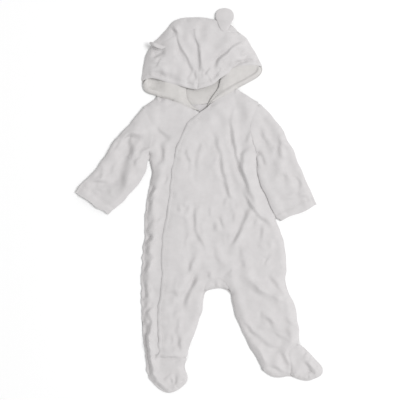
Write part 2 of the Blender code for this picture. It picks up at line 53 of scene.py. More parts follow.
# ------------------------------------------------------------------------- creases
# Each crease follows a smooth path through a few points. A step is a steep flank with a
# soft ridge on its upper right and a trough on the other side, and a pleat is a narrow
# one; a ridge and a trough are even on both sides. The width is to one side.
Crease = namedtuple("Crease", "name path width height form", defaults=("step",))
BODY_CREASES = (
    Crease("chest drag", ((68, 196), (62, 168), (63, 130), (72, 88), (86, 44), (104, 2),
           (122, -26)), 3.8, 2.4),
    Crease("side drag", ((84, 40), (92, 4), (108, -22), (126, -40), (150, -58)), 3.4, 1.9),
    Crease("belly drag", ((24, 151), (32, 118), (40, 84), (49, 38), (60, 6), (78, -14)), 4.2, 1.9),
    Crease("breast hollow", ((4, 122), (-6, 93), (-10, 52)), 5.0, 1.2),
    Crease("armhole arc", ((112, 106), (96, 104), (85, 88), (83, 62), (92, 36), (104, 18)
           ), 4.4, 1.8),
    Crease("shoulder crease", ((98, 146), (95, 128), (96, 112)), 4.0, 1.0),
    Crease("under the lip", ((-98, 200), (-84, 201), (-66, 197), (-48, 189)), 6.0, 5.0, "trough"),
    Crease("left chest, upper", ((-85, 152), (-78, 136), (-60, 121)), 4.0, 1.4),
    Crease("left chest, lower", ((-76, 118), (-73, 88), (-92, 61)), 4.5, 1.5),
    Crease("waist, left", ((-74, -34), (-84, -42), (-94, -54)), 4.0, 1.3),
    Crease("waist, first", ((-40, 8), (-42, -8), (-41, -26)), 4.0, 1.0),
    Crease("waist, second", ((-24, -8), (-25, -20), (-24, -34)), 4.0, 0.9),
    Crease("belly centre", ((-12, 10), (-10, -30), (-8, -62), (4, -88), (20, -104)), 4.6, 1.3),
    Crease("belly right, short", ((26, -40), (29, -52), (28, -66)), 3.8, 1.0),
    Crease("belly right, long", ((36, -32), (44, -44), (50, -60)), 4.0, 1.2),
    Crease("hip step", ((-12, -102), (-16, -124), (-24, -150)), 4.6, 1.6),
    Crease("groin", ((2, -142), (-14, -168), (-26, -194), (-36, -216)), 5.4, 2.8),
    Crease("groin, tail", ((-34, -214), (-46, -222), (-58, -233)), 5.0, 1.2),
    Crease("left thigh hollow", ((-72, -202), (-58, -190), (-44, -182)), 8.5, 2.6, "trough"),
    Crease("hip drag", ((98, -10), (92, -30), (79, -60), (58, -100)), 4.6, 2.1),
    Crease("thigh ridge", ((74, -142), (100, -160), (136, -186), (184, -206)), 6.0, 2.6, "ridge"),
    Crease("thigh, under ridge", ((76, -163), (106, -181), (136, -203), (174, -217)
           ), 6.0, 1.0, "trough"),
    Crease("outer thigh", ((134, -148), (154, -172), (174, -190)), 4.2, 1.4),
    Crease("outer shin", ((168, -238), (180, -247), (194, -260)), 4.0, 1.2),
    Crease("thigh dent, inner", ((85, -119), (86, -127), (85, -136)), 3.6, 1.0),
    Crease("thigh dent, outer", ((133, -78), (135, -86), (134, -94)), 4.0, 0.8),
    Crease("thigh dent, middle", ((121, -118), (122, -125), (121, -133)), 4.0, 0.7),
    Crease("shin dent", ((118, -218), (120, -229), (119, -242)), 5.5, 1.0, "trough"),
    Crease("shin drag", ((77, -218), (87, -243), (104, -263), (127, -282), (151, -294),
           (178, -302)), 4.8, 1.5),
    Crease("calf ridge", ((104, -280), (116, -298), (135, -330)), 5.0, 1.8, "ridge"),
    Crease("heel", ((136, -325), (158, -340), (176, -350)), 4.6, 1.9),
    Crease("ankle knot", ((158, -302), (168, -314), (176, -334)), 5.0, 2.2),
    Crease("left shin", ((-42, -266), (-40, -290), (-37, -308)), 5.0, 1.4),
    Crease("left shin, short", ((-58, -268), (-56, -280), (-58, -292)), 4.0, 0.8),
    Crease("left toe", ((-48, -342), (-45, -362), (-56, -375)), 4.4, 0.9),
    Crease("left toe, side", ((-82, -360), (-84, -368), (-88, -376)), 3.5, 0.8),
    Crease("left vamp", ((-34, -314), (-50, -322), (-36, -333)), 4.0, 0.8, "trough"),
    Crease("left hem", ((-98, -316), (-76, -313), (-50, -312), (-26, -315)), 4.6, 1.5),
    Crease("right toe", ((206, -318), (216, -332), (222, -350)), 5.0, 1.0),
)
SLEEVE_CREASES = (
    Crease("left elbow", ((-131, 142), (-134, 118), (-140, 92), (-149, 62), (-156, 36),
           (-160, 14), (-163, 2)), 12.5, 3.8),
    Crease("left upper arm", ((-158, 116), (-138, 127), (-104, 126)), 4.4, 2.3),
    Crease("left inner arm", ((-94, 107), (-117, 99), (-118, 86), (-127, 74), (-136, 62)
           ), 4.6, 1.9),
    Crease("left inner arm, short", ((-122, 82), (-128, 75), (-134, 64)), 4.0, 1.0),
    Crease("left cuff, upper", ((-222, 36), (-200, 37), (-174, 33)), 4.2, 1.6),
    Crease("left cuff, lower", ((-208, 14), (-179, 21), (-182, 7)), 4.0, 1.5),
    Crease("right upper arm", ((120, 158), (121, 142), (132, 118), (140, 88)), 4.6, 1.9),
    Crease("right arm drag", ((156, 136), (158, 92), (153, 63)), 4.6, 1.2),
    Crease("right forearm", ((196, 60), (200, 40), (198, 20)), 5.0, 1.0),
    Crease("right armpit", ((114, 100), (122, 92), (132, 66)), 4.0, 1.4),
    Crease("right cuff hem", ((158, -4), (192, 4), (226, 6)), 4.0, 1.2),
)
HOOD_CREASES = (
    Crease("left of centre", ((-50, 338), (-43, 316), (-33, 292), (-20, 266), (-4, 240)), 3.8, 1.7),
    Crease("left of centre, side", ((-47, 312), (-37, 288), (-26, 266)), 3.4, 0.9),
    Crease("right drag", ((92, 319), (66, 304), (44, 286), (31, 270), (26, 252)), 4.2, 2.4),
    Crease("right drag, upper", ((66, 318), (80, 320), (96, 315)), 4.4, 1.5, "ridge"),
    Crease("right brim", ((50, 258), (66, 270), (84, 278), (106, 281), (120, 275)), 3.4, 1.5),
    Crease("right brim, upper", ((60, 276), (84, 288), (110, 292)), 3.6, 0.9),
    Crease("left brim", ((-108, 258), (-88, 256), (-62, 250), (-36, 240)), 4.6, 0.9),
    Crease("left brim, upper", ((-104, 272), (-84, 270), (-62, 262)), 4.4, 0.8),
    Crease("left hollow", ((-100, 291), (-86, 290), (-68, 295)), 7.0, 4.2, "trough"),
    Crease("crown hollow", ((-62, 362), (-57, 350), (-51, 336), (-46, 322)), 4.6, 2.2),
    Crease("centre fold", ((-22, 346), (-13, 328), (-5, 304), (-1, 276), (-3, 256), (-4, 240),
           (-4, 230)), 3.8, 1.7),
    Crease("crumple, first", ((8, 262), (4, 248), (2, 236)), 3.4, 1.0),
    Crease("crumple, second", ((22, 266), (14, 250), (10, 240)), 3.4, 1.0),
    Crease("crumple, third", ((44, 262), (34, 252), (26, 244)), 3.4, 0.9),
    Crease("crumple, fourth", ((-8, 262), (-9, 248), (-8, 236)), 3.4, 0.9),
)
# These reach right to the crumpled left side, where the cloth of the back has slid round.
SIDE_CREASES = (
    Crease("side, waist", ((-88, 32), (-95, 16), (-106, -4)), 4.6, 3.0, "pleat"),
    Crease("side, below waist", ((-88, -34), (-99, -50), (-112, -64)), 4.6, 3.4, "pleat"),
    Crease("side, hip", ((-88, -60), (-97, -76), (-111, -90)), 4.8, 3.8, "pleat"),
    Crease("side, hip, short", ((-98, -90), (-101, -98), (-103, -108)), 4.2, 2.2, "pleat"),
    Crease("side, thigh", ((-94, -108), (-102, -128), (-113, -150)), 5.0, 4.0, "pleat"),
    Crease("side, thigh, low", ((-105, -158), (-109, -180), (-103, -204)), 4.8, 2.8, "pleat"),
    Crease("side, knee", ((-96, -208), (-103, -226), (-98, -244), (-108, -262)), 4.8, 4.2, "pleat"),
    Crease("side, shin", ((-98, -252), (-105, -274), (-105, -298), (-100, -318)
           ), 6.0, 5.4, "pleat"),
    Crease("side, ankle", ((-84, -300), (-88, -312), (-92, -322)), 4.6, 1.2, "pleat"),
    Crease("side, foot", ((-101, -300), (-101, -326), (-94, -348)), 5.8, 4.8, "pleat"),
)
CREASES = BODY_CREASES + SLEEVE_CREASES + HOOD_CREASES

# ------------------------------------------------------------ curves, waves and steps
FLOOR_GAP = 0.2            # clearance between two pieces that lie on each other
BACK_TOP = 2.0             # top of the back pieces
WAVE_COUNT = 12            # waves in a random field
CREASE_WIDTH = 0.75        # share of the widths in the tables
CREASE_FADE = 0.32         # share of a crease over which each end fades
UNEVEN_LENGTH = 61.0       # the height of a crease varies over this length
RIDGE_SIDE = (0.87, 0.50)  # the side on which a step has its ridge
TAILS = {"step": 1.9, "pleat": 0.8}   # how far a step's two sides reach, in widths


def even_steps(line, step):
    """The same line with its points about a step apart."""
    along = np.concatenate(([0.0], np.cumsum(np.linalg.norm(np.diff(line, axis=0), axis=1))))
    count = max(2, int(round(along[-1] / step)) + 1)
    stations = np.linspace(0.0, along[-1], count)
    return np.column_stack([np.interp(stations, along, column) for column in line.T])


def smooth_path(points, step=4.0):
    """Points about a step apart on a smooth curve through the given ones."""
    pts = np.array(points, dtype=float)
    ends = np.vstack((2 * pts[0] - pts[1], pts, 2 * pts[-1] - pts[-2]))
    dense = []
    for a, b, c, d in zip(ends, ends[1:], ends[2:], ends[3:]):
        for t in np.linspace(0.0, 1.0, 12, endpoint=False):
            dense.append(0.5 * (2 * b + (c - a) * t + (2 * a - 5 * b + 4 * c - d) * t**2
                                + (3 * b - a - 3 * c + d) * t**3))
    return even_steps(np.array(dense + [pts[-1]]), step)


def smooth_step(value):
    """0 up to 0, 1 from 1, and a soft rise between them."""
    t = np.clip(value, 0.0, 1.0)
    return t * t * (3.0 - 2.0 * t)


def round_rise(value):
    """0 at 0 and 1 from 1, rising like the side of an ellipse."""
    t = np.clip(value, 0.0, 1.0)
    return np.sqrt(1.0 - (1.0 - t) ** 2)


def bell(gap, reach):
    """1 at no gap, falling softly to nothing within about two reaches."""
    return np.exp(-((gap / reach) ** 2))


def waves(points, length, seed, heading=None, spread=0.35):
    """A smooth random field of about 1, with waves of about this length.

    With a heading, in degrees, the crests run near that direction.
    """
    rng = np.random.default_rng(seed)
    total = np.zeros(len(points))
    for _ in range(WAVE_COUNT):
        turn = rng.uniform(0.0, 2.0 * math.pi)
        if heading is not None:
            turn = math.radians(heading + 90.0) + rng.normal(0.0, spread)
        size = length * rng.uniform(0.7, 1.5)
        phase = rng.uniform(0.0, 2.0 * math.pi)
        across = points[:, 0] * math.cos(turn) + points[:, 1] * math.sin(turn)
        total += np.sin(2.0 * math.pi * across / size + phase)
    return total * math.sqrt(2.0 / WAVE_COUNT) * 0.6


def wave_shift(points, length, seed):
    """A smooth random shift in plan of about 1 for each point."""
    return np.column_stack((waves(points, length, seed), waves(points, length, seed + 1)))


def beside_path(points, path):
    """The distance to a path, positive on its left, and the place along it from 0 to 1."""
    nearest = np.full(len(points), np.inf)
    side = np.ones(len(points))
    place = np.zeros(len(points))
    count = len(path) - 1
    for number, (a, b) in enumerate(zip(path[:-1], path[1:])):
        span = b - a
        t = np.clip(((points - a) @ span) / (span @ span), 0.0, 1.0)
        gap = np.linalg.norm(points - a - t[:, None] * span, axis=1)
        closer = gap < nearest
        nearest = np.where(closer, gap, nearest)
        cross = span[0] * (points[:, 1] - a[1]) - span[1] * (points[:, 0] - a[0])
        side = np.where(closer, np.sign(cross), side)
        place = np.where(closer, (number + t) / count, place)
    return nearest * side, place


def gap_to(points, path):
    """The distance to a path."""
    return np.abs(beside_path(points, path)[0])


def flank(gap, width, tail):
    """-1 at one width before the middle, 1 at one width after it, and a fall beyond."""
    inner = np.sin(0.5 * math.pi * np.clip(gap / width, -1.0, 1.0))
    beyond = np.maximum(np.abs(gap) - width, 0.0)
    return inner * bell(beyond, tail * width)


def crease_relief(points, creases):
    """The height of all the creases at each point."""
    height = np.zeros(len(points))
    bent = points + 1.5 * wave_shift(points, 30.0, 71)
    for number, crease in enumerate(creases):
        path = smooth_path(crease.path)
        reach = 5.0 * crease.width
        low, high = path.min(axis=0) - reach, path.max(axis=0) + reach
        near = np.all((bent > low) & (bent < high), axis=1)
        if not near.any():
            continue
        gap, place = beside_path(bent[near], path)
        onward = path[-1] - path[0]
        if RIDGE_SIDE[1] * onward[0] - RIDGE_SIDE[0] * onward[1] < 0.0:
            gap = -gap
        ends = smooth_step(place / CREASE_FADE) * smooth_step((1.0 - place) / CREASE_FADE)
        turns = place * 4.0 * len(path) / UNEVEN_LENGTH + 0.37 * number
        width = CREASE_WIDTH * crease.width * (1.45 - 0.45 * ends)
        if crease.form in TAILS:
            fold = flank(gap, width, TAILS[crease.form])
            fold -= 0.45 * bell(gap + 0.6 * width, 1.2 * width)
        else:
            fold = bell(gap, width) * (1.0 if crease.form == "ridge" else -1.0)
        uneven = 1.0 + 0.3 * np.sin(2.0 * math.pi * turns)
        height[near] += crease.height * fold * ends * uneven
    return height


# ---------------------------------------------------------------- edges of the pieces
def welded(node):
    """The node's mesh with its corners joined, in millimetres."""
    work = bmesh.new()
    work.from_mesh(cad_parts[node].data)
    bmesh.ops.remove_doubles(work, verts=work.verts[:], dist=0.01 * MM)
    bmesh.ops.scale(work, vec=(1.0 / MM,) * 3, verts=work.verts[:])
    work.normal_update()
    return work


LEVEL = 0.3                # faces with less of a slant than this are walls


def rim_kind(edge):
    """"low" or "high" for an edge between a sheet's wall and its lower or upper side."""
    if len(edge.link_faces) != 2:
        return None
    lower, upper = sorted(face.normal.z for face in edge.link_faces)
    if lower < -LEVEL and abs(upper) < LEVEL:
        return "low"
    if upper > LEVEL and abs(lower) < LEVEL:
        return "high"
    return None


def next_to(edges):
    """The corners that each corner is joined to by the edges."""
    ends = {}
    for edge in edges:
        a, b = edge.verts
        ends.setdefault(a, []).append(b)
        ends.setdefault(b, []).append(a)
    return ends


def in_order(edges):
    """The edges' corners in plan, as closed loops, the longest one first."""
    steps = {vertex.index: others for vertex, others in next_to(edges).items()}
    left = {edge.verts[0].index: edge.verts[0] for edge in edges}
    loops = []
    while left:
        key = min(left)
        vertex, before = left[key], None
        loop = []
        while vertex is not None and vertex.index in steps:
            loop.append((vertex.co.x, vertex.co.y))
            onward = [other for other in steps.pop(vertex.index) if other.index != before]
            left.pop(vertex.index, None)
            before = vertex.index
            vertex = next((other for other in onward if other.index in steps), None)
        if len(loop) > 2:
            loops.append(np.array(loop + [loop[0]]))
    return sorted(loops, key=lambda loop: -np.ptp(loop, axis=0).sum())


def rim_of(node, step=2.0):
    """The closed edge of a sheet node in plan."""
    work = welded(node)
    work.verts.index_update()
    loop = in_order([edge for edge in work.edges if rim_kind(edge) == "low"])[0]
    work.free()
    return even_steps(loop, step)


def rim_run(loop, start, end, via):
    """The part of a closed edge from near the start to near the end, past the third point."""
    loop = loop[:-1]
    first, last, middle = (int(np.argmin(np.linalg.norm(loop - np.array(p), axis=1)))
                           for p in (start, end, via))
    count = len(loop)
    forward = (last - first) % count
    if (middle - first) % count <= forward:
        return loop[(first + np.arange(forward + 1)) % count]
    return loop[(first - np.arange(count - forward + 1)) % count]


def tree_of(points):
    """A tree that finds the nearest of some points in plan."""
    tree = kdtree.KDTree(len(points))
    for index, (x, y) in enumerate(points):
        tree.insert((x, y, 0.0), index)
    tree.balance()
    return tree


def nearest_in(tree, points):
    """The distance to the nearest point of the tree, and its index."""
    found = [tree.find((x, y, 0.0)) for x, y in points]
    return np.array([row[2] for row in found]), np.array([row[1] for row in found])


# The two long sides of each sleeve in plan, from the armhole to the cuff.
SLEEVE_SIDES = {
    "sleeve_left": (
        ((-112, 186), (-137, 156), (-162, 130), (-181, 101), (-201, 71), (-219, 49), (-234, 35),
         (-249, 17)),
        ((-102, 90), (-105, 75), (-110, 53), (-122, 31), (-138, 13), (-155, -5), (-168, -17),
         (-182, -30))),
    "sleeve_right": (
        ((116, 194), (140, 175), (160, 147), (178, 116), (196, 78), (212, 38), (223, 14),
         (235, -9)),
        ((114, 90), (114, 72), (116, 51), (123, 26), (133, 5), (145, -20), (153, -32),
         (161, -42))),
}
# A point on the shoulder, at the armpit and between them, on the edge of the back.
ARMHOLES = (((-112, 186), (-102, 90), (-95, 138)), ((116, 194), (112, 90), (99, 140)))
BACKS = ("back_body", "foot_sole_left", "foot_sole_right", "hood_back")
BACK_RIMS = {name: rim_of(name) for name in BACKS}
ARMHOLE_RUNS = [rim_run(BACK_RIMS["back_body"], *points) for points in ARMHOLES]


def outer_edge():
    """The points of the suit's own outline where front and back are sewn together."""
    kept = []
    for name, rim in BACK_RIMS.items():
        others = [line for other, line in BACK_RIMS.items() if other != name] + ARMHOLE_RUNS
        away, _ = nearest_in(tree_of(np.vstack(others)), rim)
        kept.append(rim[away > 5.0])
    return np.vstack(kept)


OUTER_TREE = tree_of(outer_edge())
SIDES_TREE = {name: tree_of(np.vstack([smooth_path(side, 2.0) for side in sides]))
              for name, sides in SLEEVE_SIDES.items()}


def outline_gap(points):
    """The distance to the suit's outline."""
    return nearest_in(OUTER_TREE, points)[0]

# Where the cloth has many small creases: a line, how far they lie from it, how many there
# are, which way they run in degrees and how much that varies, their length and height.
Crumple = namedtuple("Crumple", "x0 y0 x1 y1 spread count heading turn length height")
CRUMPLES = (
    Crumple(-60, 140, -76, 20, 14, 8, 80, 20, 26, 0.6),
    Crumple(-20, 90, -30, -120, 26, 16, 85, 12, 34, 0.6),
    Crumple(40, 120, 60, -110, 30, 16, 100, 12, 36, 0.6),
    Crumple(110, -40, 140, -130, 22, 14, 92, 22, 28, 0.7),
    Crumple(110, -180, 160, -280, 24, 12, -42, 10, 44, 0.6),
    Crumple(-50, -150, -60, -290, 18, 10, 80, 12, 34, 0.5),
    Crumple(10, -150, 60, -150, 8, 10, 90, 25, 16, 0.7),
    Crumple(-60, -345, -60, -365, 26, 6, 80, 30, 18, 0.5),
    Crumple(200, -320, 230, -345, 12, 8, -50, 30, 18, 0.6),
    Crumple(-122, 130, -205, 20, 22, 22, 62, 16, 30, 0.9),
    Crumple(132, 130, 192, 0, 22, 20, -70, 16, 32, 0.8),
    Crumple(-80, 300, -60, 250, 20, 8, 70, 40, 24, 0.5),
    Crumple(16, 258, -20, 240, 8, 8, 100, 24, 18, 0.6),
    Crumple(90, 300, 80, 275, 18, 6, 14, 14, 26, 0.5),
)
SIDE_CRUMPLES = (Crumple(-100, 20, -106, -305, 6, 26, 66, 18, 22, 1.4),)


def small_creases(areas, seed):
    """Short creases strewn over the crumpled parts, the same ones each time."""
    rng = np.random.default_rng(seed)
    made = []
    for area in areas:
        start = np.array((area.x0, area.y0))
        line = np.array((area.x1 - area.x0, area.y1 - area.y0), dtype=float)
        across = np.array((-line[1], line[0])) / np.linalg.norm(line)
        for _ in range(area.count):
            middle = start + line * rng.uniform() + across * area.spread * rng.normal(0, 0.6)
            angle = math.radians(area.heading + area.turn * rng.normal())
            onward = np.array((math.cos(angle), math.sin(angle)))
            half = 0.5 * area.length * rng.uniform(0.5, 1.5) * onward
            bend = np.array((-half[1], half[0])) * rng.normal(0.0, 0.22)
            path = (middle - half, middle + bend, middle + half)
            width = rng.uniform(2.8, 4.6)
            made.append(Crease("small", path, width, area.height * rng.uniform(0.4, 1.3)))
    return tuple(made)


ALL_CREASES = CREASES + small_creases(CRUMPLES, 17)
ALL_SIDE_CREASES = SIDE_CREASES + small_creases(SIDE_CRUMPLES, 20)

# -------------------------------------------------------- the cloth, let fall in folds
# The cloth of each part is a little larger than its place. It starts wide, its edges are
# drawn in to where they are sewn, and what is spare buckles along the creases.
SIM_SCALE = 0.01           # simulated units in a millimetre
SIM_FLOOR = 2.3            # height of what the cloth falls on
SIM_LOFT, SIM_REACH = 6.0, 24.0      # how much higher it starts, and how far in it gets there
HOOD_LOFT, HOOD_REACH = 12.0, 50.0   # the same for the hood
SLEEVE_REACH = 15.0        # and how far in from the sides of a sleeve it gets there
SIM_FRAMES = 48
DRAWN_IN = 30              # the frame at which the edges are in place
RASTER = 2.5               # spacing of the height field that comes out
SOFTEN = 3.2               # how far it is smoothed
WIDE = 18.0                # bulges wider than this
WIDE_SHARE = 0.7           # lose so much of their height
# Grid cell, the way the folds run in degrees, what is spare across and along that, how
# stiff the cloth is, and its share of gravity.
Region = namedtuple("Region", "name cell heading across along bending gravity")
REGIONS = (
    Region("body", 4.0, 90.0, 0.030, 0.010, 9.0, 0.30),
    Region("sleeve_left", 4.0, 53.0, 0.040, 0.015, 6.0, 0.25),
    Region("sleeve_right", 4.0, -68.0, 0.035, 0.015, 6.0, 0.25),
    Region("hood", 4.0, 90.0, 0.030, 0.012, 9.0, 0.02),
)


def inside(points, loop):
    """Which points are within the outline."""
    x, y = points[:, 0], points[:, 1]
    result = np.zeros(len(points), dtype=bool)
    for (x0, y0), (x1, y1) in zip(loop, np.roll(loop, -1, axis=0)):
        crosses = (y0 > y) != (y1 > y)
        rise = y1 - y0 if y1 != y0 else 1e-9
        result ^= crosses & (x < (x1 - x0) * (y - y0) / rise + x0)
    return result


def lattice(loops, cell):
    """The points and square faces of a grid that fills the outlines."""
    every = np.vstack(loops)
    low = np.floor(every.min(axis=0) / cell) * cell
    counts = np.ceil((every.max(axis=0) - low) / cell).astype(int) + 1
    across, up = np.meshgrid(np.arange(counts[0]), np.arange(counts[1]))
    grid = low + cell * np.column_stack((across.ravel(), up.ravel()))
    kept = np.zeros(len(grid), dtype=bool)
    for loop in loops:
        kept |= inside(grid, loop)
    index = np.where(kept, np.cumsum(kept) - 1, -1).reshape(counts[1], counts[0])
    corners = (index[:-1, :-1], index[:-1, 1:], index[1:, 1:], index[1:, :-1])
    corners = np.stack(corners, axis=-1).reshape(-1, 4)
    faces = corners[corners.min(axis=1) >= 0]
    used = np.unique(faces)
    renumbered = -np.ones(kept.sum(), dtype=int)
    renumbered[used] = np.arange(len(used))
    return grid[kept][used], renumbered[faces]


def add_object(name, corners, faces):
    """A mesh object in the scene."""
    mesh = bpy.data.meshes.new(name)
    mesh.from_pydata(corners, [], faces)
    thing = bpy.data.objects.new(name, mesh)
    bpy.context.scene.collection.objects.link(thing)
    return thing


def square(half, level):
    """The corners and the face of a level square."""
    signs = ((-1, -1), (1, -1), (1, 1), (-1, 1))
    return [(x * half, y * half, level) for x, y in signs], [(0, 1, 2, 3)]


def corners_of(mesh):
    """The corners of a mesh."""
    corners = np.zeros(3 * len(mesh.vertices))
    mesh.vertices.foreach_get("co", corners)
    return corners.reshape(-1, 3)


def add_cloth(thing, region):
    """Cloth that is held at its edge, with the region's stiffness and weight."""
    cloth = thing.modifiers.new("cloth", "CLOTH")
    facts = cloth.settings
    facts.quality = 6
    facts.mass = 0.3
    facts.tension_stiffness = facts.compression_stiffness = 15.0
    facts.shear_stiffness = 8.0
    facts.bending_stiffness = region.bending
    facts.tension_damping = facts.compression_damping = facts.shear_damping = 5.0
    facts.air_damping = 2.0
    facts.effector_weights.gravity = region.gravity
    facts.vertex_group_mass = "edge"
    cloth.collision_settings.distance_min = 0.003
    cloth.collision_settings.use_self_collision = False
    cloth.point_cache.frame_start = 1
    cloth.point_cache.frame_end = SIM_FRAMES


def fallen(region, loops, height):
    """The cloth's corners after that of a region has come to lie in folds."""
    plan, faces = lattice(loops, region.cell)
    start = np.column_stack((plan, height(plan)))
    turn = math.radians(region.heading)
    along = np.array((math.cos(turn), math.sin(turn)))
    across = np.array((-along[1], along[0]))
    offset = plan - plan.mean(axis=0)
    wide = start.copy()
    wide[:, :2] += region.along * (offset @ along)[:, None] * along
    wide[:, :2] += region.across * (offset @ across)[:, None] * across

    thing = add_object("falling", (wide * SIM_SCALE).tolist(), faces.tolist())
    shape = bmesh.new()
    shape.from_mesh(thing.data)
    edge = [vertex.index for vertex in shape.verts if vertex.is_boundary]
    shape.free()
    thing.vertex_groups.new(name="edge").add(edge, 1.0, "REPLACE")
    thing.shape_key_add(name="wide")
    drawn = thing.shape_key_add(name="drawn in")
    drawn.data.foreach_set("co", (start * SIM_SCALE).ravel())
    for value, frame_number in ((0.0, 1), (1.0, DRAWN_IN)):
        drawn.value = value
        drawn.keyframe_insert("value", frame=frame_number)

    under = add_object("falling onto", *square(10.0, SIM_FLOOR * SIM_SCALE))
    under.modifiers.new("collision", "COLLISION")
    under.collision.thickness_outer = 0.002
    add_cloth(thing, region)
    for frame_number in range(1, SIM_FRAMES + 1):
        bpy.context.scene.frame_set(frame_number)
    shown = thing.evaluated_get(bpy.context.evaluated_depsgraph_get())
    corners = corners_of(shown.data) / SIM_SCALE
    bpy.data.objects.remove(thing)
    bpy.data.objects.remove(under)
    return corners


def blurred(grid):
    """The grid smoothed over a wide reach."""
    span = int(2.5 * WIDE / RASTER)
    share = np.exp(-0.5 * (np.arange(-span, span + 1) * RASTER / WIDE) ** 2)
    share /= share.sum()
    rows = np.apply_along_axis(np.convolve, 1, grid, share, "same")
    return np.apply_along_axis(np.convolve, 0, rows, share, "same")


class HeightField:
    """A smooth height over the plan, from scattered points."""

    def __init__(self, plan, values):
        self.low = plan.min(axis=0) - 6.0 * RASTER
        size = np.ceil((plan.max(axis=0) - self.low) / RASTER).astype(int) + 7
        total = np.zeros((size[1], size[0]))
        weight = np.full((size[1], size[0]), 1e-9)
        cells = np.rint((plan - self.low) / RASTER).astype(int)
        reach = int(2.5 * SOFTEN / RASTER) + 1
        for i in range(-reach, reach + 1):
            for j in range(-reach, reach + 1):
                spot = cells + (i, j)
                gap = np.linalg.norm(self.low + spot * RASTER - plan, axis=1)
                share = np.exp(-0.5 * (gap / SOFTEN) ** 2)
                np.add.at(total, (spot[:, 1], spot[:, 0]), share * values)
                np.add.at(weight, (spot[:, 1], spot[:, 0]), share)
        known = (weight > 0.01).astype(float)
        field = np.where(known > 0.0, total / weight, 0.0)
        wide = blurred(field * known) / np.maximum(blurred(known), 0.05)
        self.values = (field - WIDE_SHARE * wide) * known

    def at(self, points):
        """The height at each point, 0 outside the field."""
        place = (points - self.low) / RASTER
        rows, columns = self.values.shape
        known = np.all((place >= 0) & (place < (columns - 1, rows - 1)), axis=1)
        place = np.clip(place, 0, (columns - 1.001, rows - 1.001))
        cell = place.astype(int)
        part = place - cell
        i, j = cell[:, 0], cell[:, 1]
        lower, upper = (self.values[row, i] * (1 - part[:, 0])
                        + self.values[row, i + 1] * part[:, 0] for row in (j, j + 1))
        return np.where(known, lower * (1 - part[:, 1]) + upper * part[:, 1], 0.0)


def region_loops(name):
    """The outlines of what a region covers."""
    if name == "body":
        return [BACK_RIMS[node] for node in ("back_body", "foot_sole_left", "foot_sole_right")]
    if name == "hood":
        return [rim_of(node) for node in ("hood_crown_left", "hood_crown_right", "hood_back_over")]
    upper, lower = (smooth_path(side, 3.0) for side in SLEEVE_SIDES[name])
    return [np.vstack((upper, lower[::-1]))]


def region_base(name, points):
    """The smooth height from which a region's cloth starts, and how far in each point is."""
    away, _ = nearest_in(SIDES_TREE.get(name, OUTER_TREE), points)
    loft, reach = {"hood": (HOOD_LOFT, HOOD_REACH),
                   "body": (SIM_LOFT, SIM_REACH)}.get(name, (SIM_LOFT, SLEEVE_REACH))
    return SIM_FLOOR + loft * round_rise(away / reach), away


def region_field(region):
    """The height of a region's folds above its smooth cloth."""
    def height(points):
        base, away = region_base(region.name, points)
        start = crease_relief(points, ALL_CREASES) + 0.5 * waves(points, 40.0, 91)
        return np.maximum(base + start * smooth_step(away / 12.0), SIM_FLOOR + 0.5)

    corners = fallen(region, region_loops(region.name), height)
    base, _ = region_base(region.name, corners[:, :2])
    return HeightField(corners[:, :2], corners[:, 2] - base)


FIELDS = {region.name: region_field(region) for region in REGIONS}

# ------------------------------------------------------------------ hems and seams
# A band runs along part of an edge: a soft roll as wide as the inset, then a stitched
# groove, gathered a little across. Start, end and a point between them pick the part.
Band = namedtuple("Band", "name node start end via inset roll groove gather")
BANDS = (
    Band("wrap", "front_upper_right", (2, 177), (-84, -307), (-70, -45), 8.0, 0.9, -0.9, 0.9),
    Band("brim_left", "hood_crown_left", (-115, 234), (-6, 220), (-43, 226), 10.0, 1.5, -1.0, 0.8),
    Band("brim_right", "hood_crown_right", (126, 264), (-6, 220), (46, 245), 10.0, 1.5, -1.0, 0.8),
)
CUFF_BANDS = (
    Band("cuff_left", "sleeve_left", (-249, 17), (-182, -30), None, 17.0, 0.8, -1.2, 0.8),
    Band("cuff_right", "sleeve_right", (235, -9), (161, -42), None, 17.0, 0.8, -1.2, 0.8),
)
BAND_STEP = 3.0            # spacing of the points along a band


def band_path(band):
    """The edge that a band follows, in plan."""
    edge = np.array((band.start, band.end), dtype=float)
    if band.via is not None:
        edge = rim_run(rim_of(band.node), band.start, band.end, band.via)
    return even_steps(edge, BAND_STEP)


BAND_PATHS = {band.name: band_path(band) for band in BANDS + CUFF_BANDS}
CUFF_PATHS = {band.node: BAND_PATHS[band.name] for band in CUFF_BANDS}

# The upper edge of each lip: under the brim, and at the neck opening.
LIP_EDGES = {
    "hood_lip_left": ((0, 178), (-14, 188), (-25, 200), (-28, 219), (-43, 223), (-78, 235),
                      (-102, 240), (-114, 232)),
    "hood_lip_right": ((124, 261), (116, 265), (102, 266), (84, 263), (66, 255), (44, 240),
                       (38, 228), (27, 210), (16, 192), (4, 180)),
}
LIP_TOPS = [smooth_path(edge, 3.0) for edge in LIP_EDGES.values()]
FREE_TREE = tree_of(np.vstack([BAND_PATHS[band.name] for band in BANDS] + LIP_TOPS))


def gathers(along, length, seed):
    """Uneven puckers along a line, between about -1 and 1."""
    rng = np.random.default_rng(seed)
    total = np.zeros(len(along))
    for _ in range(6):
        size = length * rng.uniform(0.7, 1.7)
        total += np.sin(2.0 * math.pi * along / size + rng.uniform(0.0, 2.0 * math.pi))
    patches = 0.55 + 0.45 * np.sin(2.0 * math.pi * along / (6.3 * length) + seed)
    return total / 2.6 * patches


